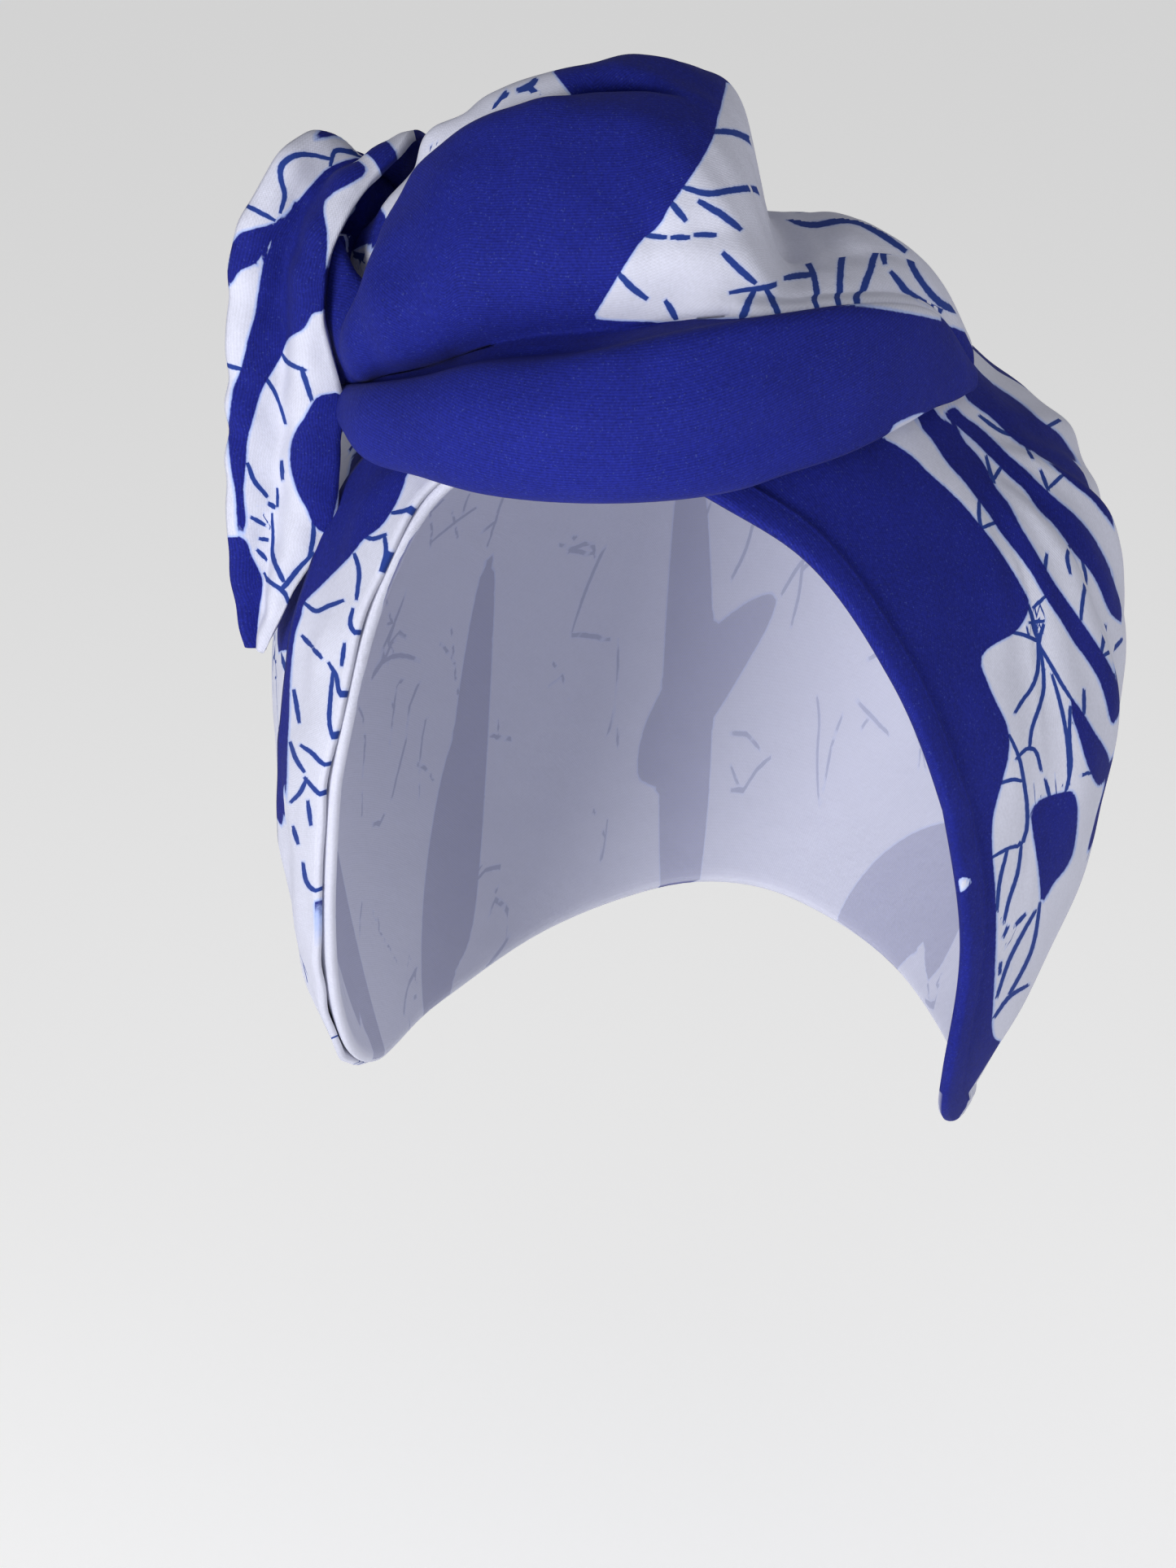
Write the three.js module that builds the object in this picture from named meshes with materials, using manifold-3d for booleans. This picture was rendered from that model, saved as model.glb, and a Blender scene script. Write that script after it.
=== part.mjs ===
// A cloth turban in millimetres, +Z up: a hollow cap with a hem, a side band, a big bow, a tail and a knot.
// The face looks along -Y. The origin is inside the crown, at the top of the hollow that holds a head.
import * as THREE from 'three';
import { mergeVertices } from 'three/addons/utils/BufferGeometryUtils.js';
import Module from 'manifold-3d';

const wasm = await Module();
wasm.setup();

// The hollow: half breadth, depth to the front and to the back, height above and below its widest level.
const HALF_BREADTH = 81;
const FRONT_DEPTH = 96;
const BACK_DEPTH = 98;
const CROWN_HEIGHT = 90;
const LOWER_HEIGHT = 140;
const POLE_TILT = 50;

// Cloth.
const CAP_WALL = 1.6;
const HEM_WALL = 2.8;
const HEM_WIDTH = 6;
const BAND_WALL = 1.5;
const BOW_WALL = 2;
const TAIL_WALL = 2;
const CLEARANCE = 0.5;

// How far the loose cloth stands off the head, and the depth of its pleats.
const PUFF = 7.6;
const PLEAT = 2.2;
const PLEAT_COUNT = 11;

// The bow: its height, how far its roll stands out from the cap, and the level of its lower edge.
const BOW_HEIGHT = 68;
const BOW_DEPTH = 18;
const BOW_DROP = 28;
const BOW_PIVOT = 60;

// The tail: its length in height from the crown, its width and its pleats.
const TAIL_DROP = 75;
const TAIL_WIDTH = 17.5;
const TAIL_FOLD = 3.4;
const KNOT_RADIUS = 8;

const DEG = Math.PI / 180;

// A table's rows as one smooth function of one column, or of the row number where no column is named.
function curve(rows, key) {
  const names = Object.keys(rows[0]);
  const places = rows.map((row, i) => (key ? row[key] : i));
  const values = rows.flatMap((row) => names.map((name) => row[name]));
  const cubic = new THREE.CubicInterpolant(places, values, names.length);
  return (x) => {
    const found = cubic.evaluate(x);
    return Object.fromEntries(names.map((name, i) => [name, found[i]]));
  };
}

const ease = (from, to, x) => THREE.MathUtils.smoothstep(x, from, to);
const mix = THREE.MathUtils.lerp;

// Direction on the head form, from the turn round the tilted pole (0 at the face, + to the wearer's left)
// and the reach down from that pole, both in degrees.
function direction(turn, reach) {
  const side = Math.sin(reach * DEG) * Math.sin(turn * DEG);
  const front = Math.sin(reach * DEG) * Math.cos(turn * DEG);
  const up = Math.cos(reach * DEG);
  const tilt = POLE_TILT * DEG;
  return new THREE.Vector3(
    side,
    -front * Math.cos(tilt) + up * Math.sin(tilt),
    front * Math.sin(tilt) + up * Math.cos(tilt),
  );
}

// The point of the head form in a direction, lifted off it.
function formPoint(way, lift) {
  const depth = way.y < 0 ? FRONT_DEPTH : BACK_DEPTH;
  const height = way.z > 0 ? CROWN_HEIGHT : LOWER_HEIGHT;
  return new THREE.Vector3(
    way.x * (HALF_BREADTH + lift),
    way.y * (depth + lift),
    way.z * (height + lift) - CROWN_HEIGHT,
  );
}

// The open front's edge: how far the cap reaches down from the pole at each turn.
const RIM = curve([
  { turn: -192, reach: 79 },
  { turn: -180, reach: 77 },
  { turn: -168, reach: 79 },
  { turn: -151, reach: 88 },
  { turn: -134, reach: 104 },
  { turn: -118, reach: 121 },
  { turn: -101, reach: 130 },
  { turn: -85, reach: 132.5 },
  { turn: -70, reach: 131.5 },
  { turn: -57, reach: 127.5 },
  { turn: -44, reach: 119 },
  { turn: -34, reach: 106.8 },
  { turn: -26, reach: 97.5 },
  { turn: -15, reach: 94.2 },
  { turn: 0, reach: 94.5 },
  { turn: 14, reach: 98.9 },
  { turn: 25, reach: 102.6 },
  { turn: 41, reach: 112 },
  { turn: 58, reach: 121.2 },
  { turn: 75, reach: 126.5 },
  { turn: 92, reach: 132 },
  { turn: 104, reach: 131 },
  { turn: 118, reach: 121 },
  { turn: 134, reach: 104 },
  { turn: 151, reach: 88 },
  { turn: 168, reach: 79 },
  { turn: 180, reach: 77 },
  { turn: 192, reach: 79 },
], 'turn');
const rimReach = (turn) => RIM(turn).reach;

// The loose cloth on the wearer's left: it swells at the side and its pleats fan out from the bow's end.
const GATHER = new THREE.Vector3(0.64, -0.31, 0.71).normalize();
const GATHER_SIDE = new THREE.Vector3(0, 0, 1).cross(GATHER).normalize();
const GATHER_UP = GATHER.clone().cross(GATHER_SIDE);
function looseness(way) {
  const forward = Math.atan2(-way.y, way.x) / DEG;
  const upward = Math.asin(THREE.MathUtils.clamp(way.z, -1, 1)) / DEG;
  const reach = GATHER.angleTo(way) / DEG;
  const bearing = Math.atan2(way.dot(GATHER_SIDE), way.dot(GATHER_UP));
  const sided = (1 - ease(6, 40, forward)) * ease(-125, -55, forward);
  const level = (1 - ease(21, 46, upward)) * ease(-42, 2, upward);
  const swell = sided * level * ease(2, 17, reach);
  const folds = 0.5 + 0.5 * Math.cos(bearing * PLEAT_COUNT);
  return swell * (PUFF + PLEAT * folds * (1 - ease(35, 70, reach)));
}
const capLift = (way) => looseness(way);
const capOuter = (way) => formPoint(way, capLift(way) + CAP_WALL);

// The cap's outer face seen from the bow's upright axis: distance from that axis at a turn and a height.
function capRange(turn, height) {
  let near = 0;
  let far = 2 * (FRONT_DEPTH + BOW_PIVOT);
  for (let i = 0; i < 30; i += 1) {
    const middle = (near + far) / 2;
    if (insideCap(fanPoint(turn, middle, height))) near = middle;
    else far = middle;
  }
  return near;
}
// The height of the cap's outer face at a turn and a distance from the same axis.
function capLevel(turn, range) {
  let low = -CROWN_HEIGHT;
  let high = CROWN_HEIGHT;
  for (let i = 0; i < 30; i += 1) {
    const middle = (low + high) / 2;
    if (insideCap(fanPoint(turn, range, middle))) low = middle;
    else high = middle;
  }
  return low;
}
function fanPoint(turn, range, height) {
  return new THREE.Vector3(
    range * Math.sin(turn * DEG),
    BOW_PIVOT - range * Math.cos(turn * DEG),
    height,
  );
}
function insideCap(point) {
  const depth = point.y < 0 ? FRONT_DEPTH : BACK_DEPTH;
  const up = point.z + CROWN_HEIGHT;
  const height = up > 0 ? CROWN_HEIGHT : LOWER_HEIGHT;
  const way = new THREE.Vector3(point.x / HALF_BREADTH, point.y / depth, up / height).normalize();
  const lift = capLift(way) + CAP_WALL;
  const share = (point.x / (HALF_BREADTH + lift)) ** 2
    + (point.y / (depth + lift)) ** 2
    + (up / (height + lift)) ** 2;
  return share < 1;
}

// A closed solid from rings of points, all of one length: each ring is joined to the next, and the first
// and last rings are joined too, or closed to a pole where they hold one point.
function solidOf(vertices, triangles) {
  const geometry = new THREE.BufferGeometry();
  geometry.setAttribute('position', new THREE.Float32BufferAttribute(vertices.flatMap((p) => [p.x, p.y, p.z]), 3));
  geometry.setIndex(triangles.flat());
  let volume = 0;
  for (const [a, b, c] of triangles) {
    volume += vertices[a].dot(vertices[b].clone().cross(vertices[c])) / 6;
  }
  if (volume < 0) geometry.setIndex(triangles.flatMap(([a, b, c]) => [a, c, b]));
  const merged = mergeVertices(geometry, 1e-4);
  return new wasm.Manifold(new wasm.Mesh({
    numProp: 3,
    vertProperties: new Float32Array(merged.attributes.position.array),
    triVerts: new Uint32Array(merged.index.array),
  }));
}

// A sheet of cloth: a grid of middle points becomes two faces and a rim, half the wall each way.
function cloth(grid, wallAt) {
  const across = grid.length;
  const along = grid[0].length;
  const wall = typeof wallAt === 'function' ? wallAt : () => wallAt;
  const faces = [[], []];
  for (let i = 0; i < across; i += 1) {
    for (let j = 0; j < along; j += 1) {
      const before = grid[Math.max(i - 1, 0)][j];
      const after = grid[Math.min(i + 1, across - 1)][j];
      const under = grid[i][Math.max(j - 1, 0)];
      const over = grid[i][Math.min(j + 1, along - 1)];
      const normal = after.clone().sub(before).cross(over.clone().sub(under)).normalize();
      const half = wall(i / (across - 1), j / (along - 1)) / 2;
      faces[0].push(grid[i][j].clone().addScaledVector(normal, half));
      faces[1].push(grid[i][j].clone().addScaledVector(normal, -half));
    }
  }
  const at = (side, i, j) => side * across * along + i * along + j;
  const triangles = [];
  const quad = (a, b, c, d) => triangles.push([a, b, c], [a, c, d]);
  for (let i = 0; i + 1 < across; i += 1) {
    for (let j = 0; j + 1 < along; j += 1) {
      quad(at(0, i, j), at(0, i + 1, j), at(0, i + 1, j + 1), at(0, i, j + 1));
      quad(at(1, i, j), at(1, i, j + 1), at(1, i + 1, j + 1), at(1, i + 1, j));
    }
    quad(at(1, i, 0), at(1, i + 1, 0), at(0, i + 1, 0), at(0, i, 0));
    quad(at(0, i, along - 1), at(0, i + 1, along - 1), at(1, i + 1, along - 1), at(1, i, along - 1));
  }
  for (let j = 0; j + 1 < along; j += 1) {
    quad(at(0, 0, j), at(0, 0, j + 1), at(1, 0, j + 1), at(1, 0, j));
    quad(at(1, across - 1, j), at(1, across - 1, j + 1), at(0, across - 1, j + 1), at(0, across - 1, j));
  }
  return solidOf([...faces[0], ...faces[1]], triangles);
}

// The cap: rings of points from the pole to the rim, outside and inside, joined at the rim.
const RING_STEPS = 14;
const CAP_TURNS = [];
for (let turn = -180; turn < 180 - 1e-6; turn += turn >= -15 && turn < 145 ? 5 : 7.5) CAP_TURNS.push(turn);
const MM_PER_DEGREE = ((HALF_BREADTH + FRONT_DEPTH) / 2) * DEG;
function capRings(lower, upper) {
  const hem = HEM_WIDTH / MM_PER_DEGREE;
  const rows = [];
  for (let i = 1; i <= RING_STEPS; i += 1) rows.push((turn) => ((rimReach(turn) - hem * 1.3) * i) / RING_STEPS);
  rows.push((turn) => rimReach(turn) - hem * 0.95);
  rows.push((turn) => rimReach(turn) - hem * 0.3);
  rows.push((turn) => rimReach(turn));
  return rows.map((reach, i) => CAP_TURNS.map((turn) => {
    const way = direction(turn, reach(turn));
    return { outer: formPoint(way, upper(way, i, rows.length)), inner: formPoint(way, lower(way, i, rows.length)) };
  }));
}
function capWall(row, count) {
  if (row === count - 1) return mix(CAP_WALL, HEM_WALL, 0.4);
  return row >= count - 3 ? HEM_WALL : CAP_WALL;
}
function makeCap() {
  const rings = capRings((way) => capLift(way), (way, i, n) => capLift(way) + capWall(i, n));
  const pole = direction(0, 0);
  const vertices = [formPoint(pole, capLift(pole) + CAP_WALL), formPoint(pole, capLift(pole))];
  const count = CAP_TURNS.length;
  for (const side of ['outer', 'inner']) for (const ring of rings) vertices.push(...ring.map((p) => p[side]));
  const at = (side, ring, i) => 2 + (side * rings.length + ring) * count + (i % count);
  const triangles = [];
  const quad = (a, b, c, d) => triangles.push([a, b, c], [a, c, d]);
  for (let i = 0; i < count; i += 1) {
    triangles.push([0, at(0, 0, i), at(0, 0, i + 1)], [1, at(1, 0, i + 1), at(1, 0, i)]);
    for (let ring = 0; ring + 1 < rings.length; ring += 1) {
      quad(at(0, ring, i), at(0, ring + 1, i), at(0, ring + 1, i + 1), at(0, ring, i + 1));
      quad(at(1, ring, i), at(1, ring, i + 1), at(1, ring + 1, i + 1), at(1, ring + 1, i));
    }
    const last = rings.length - 1;
    quad(at(0, last, i), at(1, last, i), at(1, last, i + 1), at(0, last, i + 1));
  }
  return solidOf(vertices, triangles);
}
// The cap and its hollow as one filled solid, grown by the clearance: it trims what lies on the cap.
function makePlug(gap) {
  const rings = capRings(() => 0, (way, i, n) => capLift(way) + capWall(i, n) + gap);
  const pole = direction(0, 0);
  const vertices = [formPoint(pole, capLift(pole) + CAP_WALL + gap), new THREE.Vector3(0, 0, -CROWN_HEIGHT)];
  const count = CAP_TURNS.length;
  for (const ring of rings) vertices.push(...ring.map((p) => p.outer));
  const at = (ring, i) => 2 + ring * count + (i % count);
  const triangles = [];
  for (let i = 0; i < count; i += 1) {
    triangles.push([0, at(0, i), at(0, i + 1)]);
    for (let ring = 0; ring + 1 < rings.length; ring += 1) {
      triangles.push([at(ring, i), at(ring + 1, i), at(ring + 1, i + 1)]);
      triangles.push([at(ring, i), at(ring + 1, i + 1), at(ring, i + 1)]);
    }
    const last = rings.length - 1;
    triangles.push([at(last, i), 1, at(last, i + 1)]);
  }
  return solidOf(vertices, triangles);
}

// The side band lies on the cap. Its front edge follows the rim and its back edge is given here.
const BAND = curve([
  { front: -9, back: -22, reach: 76 },
  { front: -16, back: -30, reach: 82 },
  { front: -25, back: -38, reach: 87.5 },
  { front: -31, back: -44, reach: 92 },
  { front: -38, back: -51, reach: 101 },
  { front: -47, back: -58, reach: 108 },
  { front: -58, back: -66, reach: 114 },
  { front: -74, back: -79, reach: 117 },
  { front: -96, back: -97, reach: 112 },
  { front: -116, back: -113, reach: 101 },
  { front: -134, back: -128, reach: 87 },
]);
const BAND_ROWS = 11;
const BAND_INSET = 0.6;
const BAND_ROOT_DEPTH = 10;
const BAND_SPREAD = 0.1;
// The band, or with a depth the same outline down into the cap, which trims what lies over the band.
function makeBand(depth, gap) {
  const grid = [];
  const steps = (BAND_ROWS - 1) * 2;
  const spread = gap * BAND_SPREAD;
  for (let i = 0; i <= steps; i += 1) {
    const row = BAND(i === 0 ? BAND_SPREAD - spread : i / 2);
    const front = rimReach(row.front) - BAND_INSET;
    grid.push(Array.from({ length: 6 }, (_, j) => {
      const share = mix(-spread, 1 + spread, j / 5);
      const way = direction(mix(row.front, row.back, share), mix(front, row.reach, share));
      const soft = 1 - ease(0.3, 0.7, share);
      const under = mix(CAP_WALL, HEM_WALL, soft);
      return formPoint(way, capLift(way) + under + CLEARANCE + (BAND_WALL + gap - depth) / 2);
    }));
  }
  return cloth(grid, BAND_WALL + gap + depth);
}

// The bow, a row for each upright section in a fan round the head. turn and sweep are degrees, sweep being
// the further turn of the crest. Heights are shares of BOW_HEIGHT above the bow's lower level, and the
// others are shares of BOW_DEPTH out from the cap: low and out place the roll, fold and nip the crease above
// it, swell the loop's front, edge and rise its upper edge, tuck the crease behind that edge, back and crest
// the ridge, and foot where the cloth meets the crown again. close draws an end in.
const BOW = curve([
  { turn: -36, sweep: 4, low: 0.08, out: 0.45, fold: 0.1, nip: 0.08, swell: 0.6, edge: 0.5, rise: 0.44, tuck: 0.02, back: 0.4, crest: 0.44, foot: -0.2, close: 0.45 },
  { turn: -34.5, sweep: 3.5, low: 0.055, out: 0.6, fold: 0.085, nip: 0.12, swell: 0.72, edge: 0.7, rise: 0.485, tuck: 0.06, back: 0.53, crest: 0.5, foot: -0.4, close: 0 },
  { turn: -30.5, sweep: 2.5, low: 0.025, out: 0.74, fold: 0.09, nip: 0.2, swell: 0.9, edge: 0.83, rise: 0.5, tuck: 0.22, back: 0.06, crest: 0.6, foot: -1.2, close: 0 },
  { turn: -26, sweep: 0, low: 0.01, out: 0.8, fold: 0.13, nip: 0.28, swell: 0.72, edge: 0.28, rise: 0.4, tuck: 0.26, back: -0.33, crest: 0.68, foot: -2.05, close: 0 },
  { turn: -21.5, sweep: -1, low: -0.01, out: 0.88, fold: 0.18, nip: 0.36, swell: 0.66, edge: -0.23, rise: 0.68, tuck: 0.23, back: -0.76, crest: 0.8, foot: -3.2, close: 0 },
  { turn: -16, sweep: -1.5, low: 0, out: 0.93, fold: 0.24, nip: 0.44, swell: 0.52, edge: -0.55, rise: 0.84, tuck: 0.18, back: -1.28, crest: 0.9, foot: -3.9, close: 0 },
  { turn: -10, sweep: -1, low: 0, out: 0.97, fold: 0.32, nip: 0.5, swell: 0.26, edge: -0.87, rise: 0.93, tuck: 0.13, back: -1.8, crest: 0.965, foot: -4.35, close: 0 },
  { turn: -3, sweep: 0, low: 0.01, out: 1, fold: 0.37, nip: 0.5, swell: 0.06, edge: -1.08, rise: 0.96, tuck: 0.06, back: -2.25, crest: 0.995, foot: -4.7, close: 0 },
  { turn: 4, sweep: 0, low: 0.02, out: 0.9, fold: 0.43, nip: 0.42, swell: -0.08, edge: -1.15, rise: 0.92, tuck: 0, back: -2.4, crest: 0.96, foot: -4.8, close: 0 },
  { turn: 9, sweep: 0, low: 0.03, out: 0.74, fold: 0.45, nip: 0.34, swell: -0.15, edge: -1, rise: 0.78, tuck: 0, back: -2.25, crest: 0.865, foot: -4.6, close: 0 },
  { turn: 13, sweep: 0, low: 0.05, out: 0.64, fold: 0.45, nip: 0.28, swell: -0.17, edge: -0.95, rise: 0.515, tuck: 0.02, back: -2.05, crest: 0.54, foot: -4.3, close: 0 },
  { turn: 18, sweep: 0, low: 0.065, out: 0.55, fold: 0.44, nip: 0.26, swell: -0.17, edge: -0.75, rise: 0.495, tuck: 0, back: -1.65, crest: 0.52, foot: -3.9, close: 0 },
  { turn: 24, sweep: 0, low: 0.085, out: 0.47, fold: 0.4, nip: 0.22, swell: -0.12, edge: -0.52, rise: 0.49, tuck: 0, back: -1.05, crest: 0.535, foot: -3.3, close: 0 },
  { turn: 29.5, sweep: 0, low: 0.09, out: 0.37, fold: 0.33, nip: 0.16, swell: -0.04, edge: -0.24, rise: 0.435, tuck: 0, back: -0.6, crest: 0.47, foot: -2.6, close: 0 },
  { turn: 34.5, sweep: 0, low: 0.075, out: 0.28, fold: 0.2, nip: 0.1, swell: 0.05, edge: -0.05, rise: 0.3, tuck: 0, back: -0.35, crest: 0.36, foot: -1.6, close: 0 },
  { turn: 38, sweep: 0, low: 0.055, out: 0.18, fold: 0.12, nip: 0.04, swell: 0.06, edge: 0, rise: 0.2, tuck: 0, back: -0.15, crest: 0.24, foot: -0.8, close: 0.3 },
]);
const BOW_ROWS = 16;
const BOW_STEPS = 26;
const BOW_SAMPLES = 38;

// One section of the bow as a smooth line of points, from under the roll up over the crest to the crown.
function bowSection(place) {
  const row = BOW(place);
  const level = (share) => share * BOW_HEIGHT - BOW_DROP;
  const low = level(row.low);
  const fold = level(row.fold);
  const rollHeight = fold - low;
  const cap = capRange(row.turn, low);
  const range = (share) => cap + share * BOW_DEPTH;
  const rest = CLEARANCE + BOW_WALL / 2;
  const front = range(row.out);
  const thick = Math.min(row.out * BOW_DEPTH, rollHeight);
  const lip = front - 0.3 * thick;
  const seatLevel = low + 0.3 * rollHeight;
  const edge = range(row.edge);
  const back = range(row.back);
  const rise = level(row.rise);
  const crest = level(row.crest);
  const swell = range(row.swell);
  const crestTurn = row.turn + row.sweep;
  const foot = range(row.foot);
  const footLevel = capLevel(crestTurn, foot) + rest;
  const points = [
    [capRange(row.turn, seatLevel) + rest, seatLevel, 0],
    [mix(capRange(row.turn, low) + rest, front, 0.25), low + 0.06 * rollHeight, 0],
    [front - 0.32 * thick, low, 0],
    [front - 0.07 * thick, low + 0.18 * rollHeight, 0],
    [front, low + 0.48 * rollHeight, 0],
    [front - 0.08 * thick, low + 0.8 * rollHeight, 0],
    [lip, fold, 0],
    [lip - row.nip * BOW_DEPTH * 0.9, fold - 0.02 * rollHeight, 0.05],
    [lip - row.nip * BOW_DEPTH, fold + 0.05 * (rise - fold), 0.08],
    [mix(lip - row.nip * BOW_DEPTH, swell, 0.75), mix(fold, rise, 0.16), 0.1],
    [swell, mix(fold, rise, 0.42), 0.2],
    [mix(swell, edge, 0.42), mix(fold, rise, 0.78), 0.35],
    [edge, rise, 0.5],
    [mix(edge, back, 0.24), mix(rise, crest, 0.4) - row.tuck * BOW_HEIGHT, 0.62],
    [mix(edge, back, 0.66), mix(rise, crest, 0.86) - 0.18 * row.tuck * BOW_HEIGHT, 0.85],
    [back, crest, 1],
    [mix(back, foot, 0.22), mix(crest, footLevel, 0.07), 1],
    [mix(back, foot, 0.55), mix(crest, footLevel, 0.34), 1],
    [mix(back, foot, 0.85), mix(crest, footLevel, 0.76), 1],
    [foot, footLevel, 1],
  ];
  const middle = [cap + rest + BOW_WALL, mix(low, rise, 0.35)];
  const placed = points.map(([r, z, share]) => fanPoint(
    mix(row.turn, crestTurn, share),
    mix(r, middle[0], row.close),
    mix(z, middle[1], row.close),
  ));
  return new THREE.CatmullRomCurve3(placed, false, 'centripetal').getPoints(BOW_SAMPLES);
}
// With a gap the bow is only thicker, and trims what lies beside it.
function makeBow(gap) {
  const grid = [];
  for (let i = 0; i <= BOW_STEPS; i += 1) grid.push(bowSection(((BOW_ROWS - 1) * i) / BOW_STEPS));
  return cloth(grid, BOW_WALL + 2 * gap);
}

// The tail, a row for each section from its root to its tip. x is a share of the hollow's half breadth,
// y of its front depth and z of TAIL_DROP. width is a share of TAIL_WIDTH, face the turn of the strip in
// degrees, and fold a share of TAIL_FOLD.
const TAIL = curve([
  { x: -0.69, y: -0.07, z: -0.2, width: 0.55, face: 60, fold: 0.4 },
  { x: -0.65, y: -0.14, z: 0.05, width: 0.75, face: 50, fold: 0.5 },
  { x: -0.64, y: -0.21, z: 0.21, width: 0.85, face: 42, fold: 0.6 },
  { x: -0.68, y: -0.3, z: 0.285, width: 0.95, face: 30, fold: 0.7 },
  { x: -0.745, y: -0.39, z: 0.275, width: 1.0, face: 8, fold: 0.9 },
  { x: -0.8, y: -0.46, z: 0.19, width: 1.05, face: -10, fold: 1 },
  { x: -0.845, y: -0.5, z: 0.06, width: 1.12, face: -18, fold: 1 },
  { x: -0.86, y: -0.515, z: -0.15, width: 1.14, face: -20, fold: 1 },
  { x: -0.87, y: -0.525, z: -0.38, width: 1.1, face: -20, fold: 0.9 },
  { x: -0.885, y: -0.53, z: -0.61, width: 1.05, face: -20, fold: 0.8 },
  { x: -0.915, y: -0.52, z: -0.81, width: 0.7, face: -20, fold: 0.6 },
  { x: -0.935, y: -0.52, z: -0.97, width: 0.22, face: -20, fold: 0.2 },
]);
const TAIL_ROWS = 12;
const TAIL_ACROSS = 12;
// With a gap the tail is thicker and wider, and trims what lies beside it.
function makeTail(gap) {
  const grid = [];
  const centre = (place) => {
    const row = TAIL(place);
    return new THREE.Vector3(row.x * HALF_BREADTH, row.y * FRONT_DEPTH, row.z * TAIL_DROP);
  };
  const steps = (TAIL_ROWS - 1) * 2;
  for (let i = 0; i <= steps; i += 1) {
    const place = i / 2;
    const row = TAIL(place);
    const middle = centre(place);
    const ahead = centre(Math.min(place + 0.1, TAIL_ROWS - 1)).sub(centre(Math.max(place - 0.1, 0))).normalize();
    const side = new THREE.Vector3(Math.cos(row.face * DEG), Math.sin(row.face * DEG), 0);
    side.addScaledVector(ahead, -side.dot(ahead)).normalize();
    const out = side.clone().cross(ahead).normalize();
    grid.push(Array.from({ length: TAIL_ACROSS + 1 }, (_, j) => {
      const share = (2 * j) / TAIL_ACROSS - 1;
      const pleat = 0.55 * Math.cos(share * 3.1 * Math.PI * 0.5 + 0.4) + 0.75 * (1 - share * share);
      return middle.clone()
        .addScaledVector(side, share * ((row.width * TAIL_WIDTH) / 2 + gap))
        .addScaledVector(out, pleat * row.fold * TAIL_FOLD);
    }));
  }
  return cloth(grid, TAIL_WALL + 2 * gap);
}

// The knot: a wound twist of cloth on the cap, in the hole at the bow's end.
const KNOT_SPOT = { x: -0.745, y: -0.27, z: 0.09 };
const KNOT_SHAPE = { x: 1.05, y: 1.1, z: 1.75 };
const KNOT_TURNS = 3;
function makeKnot() {
  const ball = new THREE.SphereGeometry(KNOT_RADIUS, 18, 11);
  ball.deleteAttribute('normal');
  ball.deleteAttribute('uv');
  const merged = mergeVertices(ball);
  const spot = merged.attributes.position;
  for (let i = 0; i < spot.count; i += 1) {
    const point = new THREE.Vector3().fromBufferAttribute(spot, i);
    const level = point.y / KNOT_RADIUS;
    const groove = Math.cos(Math.atan2(point.z, point.x) * KNOT_TURNS + level * 3);
    const swell = 1 + 0.12 * groove * (1 - level * level);
    spot.setXYZ(
      i,
      point.x * KNOT_SHAPE.x * swell + KNOT_SPOT.x * HALF_BREADTH,
      -point.z * KNOT_SHAPE.y * swell + KNOT_SPOT.y * FRONT_DEPTH,
      point.y * KNOT_SHAPE.z + KNOT_SPOT.z * BOW_HEIGHT,
    );
  }
  return new wasm.Manifold(new wasm.Mesh({
    numProp: 3,
    vertProperties: new Float32Array(spot.array),
    triVerts: new Uint32Array(merged.index.array),
  }));
}

const COLOURS = { blue: '#3b44b8', pale: '#d9daf2', shade: '#b9bce6' };
const group = new THREE.Group();
function add(name, solid, colour) {
  const mesh = solid.getMesh();
  const geometry = new THREE.BufferGeometry();
  geometry.setAttribute('position', new THREE.Float32BufferAttribute(mesh.vertProperties, 3));
  geometry.setIndex(Array.from(mesh.triVerts));
  geometry.computeVertexNormals();
  const material = new THREE.MeshStandardMaterial({ color: colour, roughness: 0.9, metalness: 0 });
  const piece = new THREE.Mesh(geometry, material);
  piece.name = name;
  group.add(piece);
}

const plug = makePlug(CLEARANCE);
const bandPlug = makeBand(BAND_ROOT_DEPTH, CLEARANCE);
const base = plug.add(bandPlug);
const bow = makeBow(0).subtract(base);
const tail = makeTail(0).subtract(makeBow(CLEARANCE)).subtract(base);
// What is left of the knot between its neighbours is one piece, so crumbs beside it are dropped.
const knotParts = makeKnot().subtract(makeBow(CLEARANCE)).subtract(makeTail(CLEARANCE)).subtract(base).decompose();
const knot = knotParts.sort((a, b) => b.volume() - a.volume())[0];
add('cap', makeCap(), COLOURS.pale);
add('side_band', makeBand(0, 0).subtract(plug), COLOURS.shade);
add('bow', bow, COLOURS.blue);
add('tail', tail, COLOURS.pale);
add('knot', knot, COLOURS.shade);

export default group;
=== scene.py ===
import math

import bmesh
import bpy
import numpy as np
from mathutils import Matrix, Vector, kdtree


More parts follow.
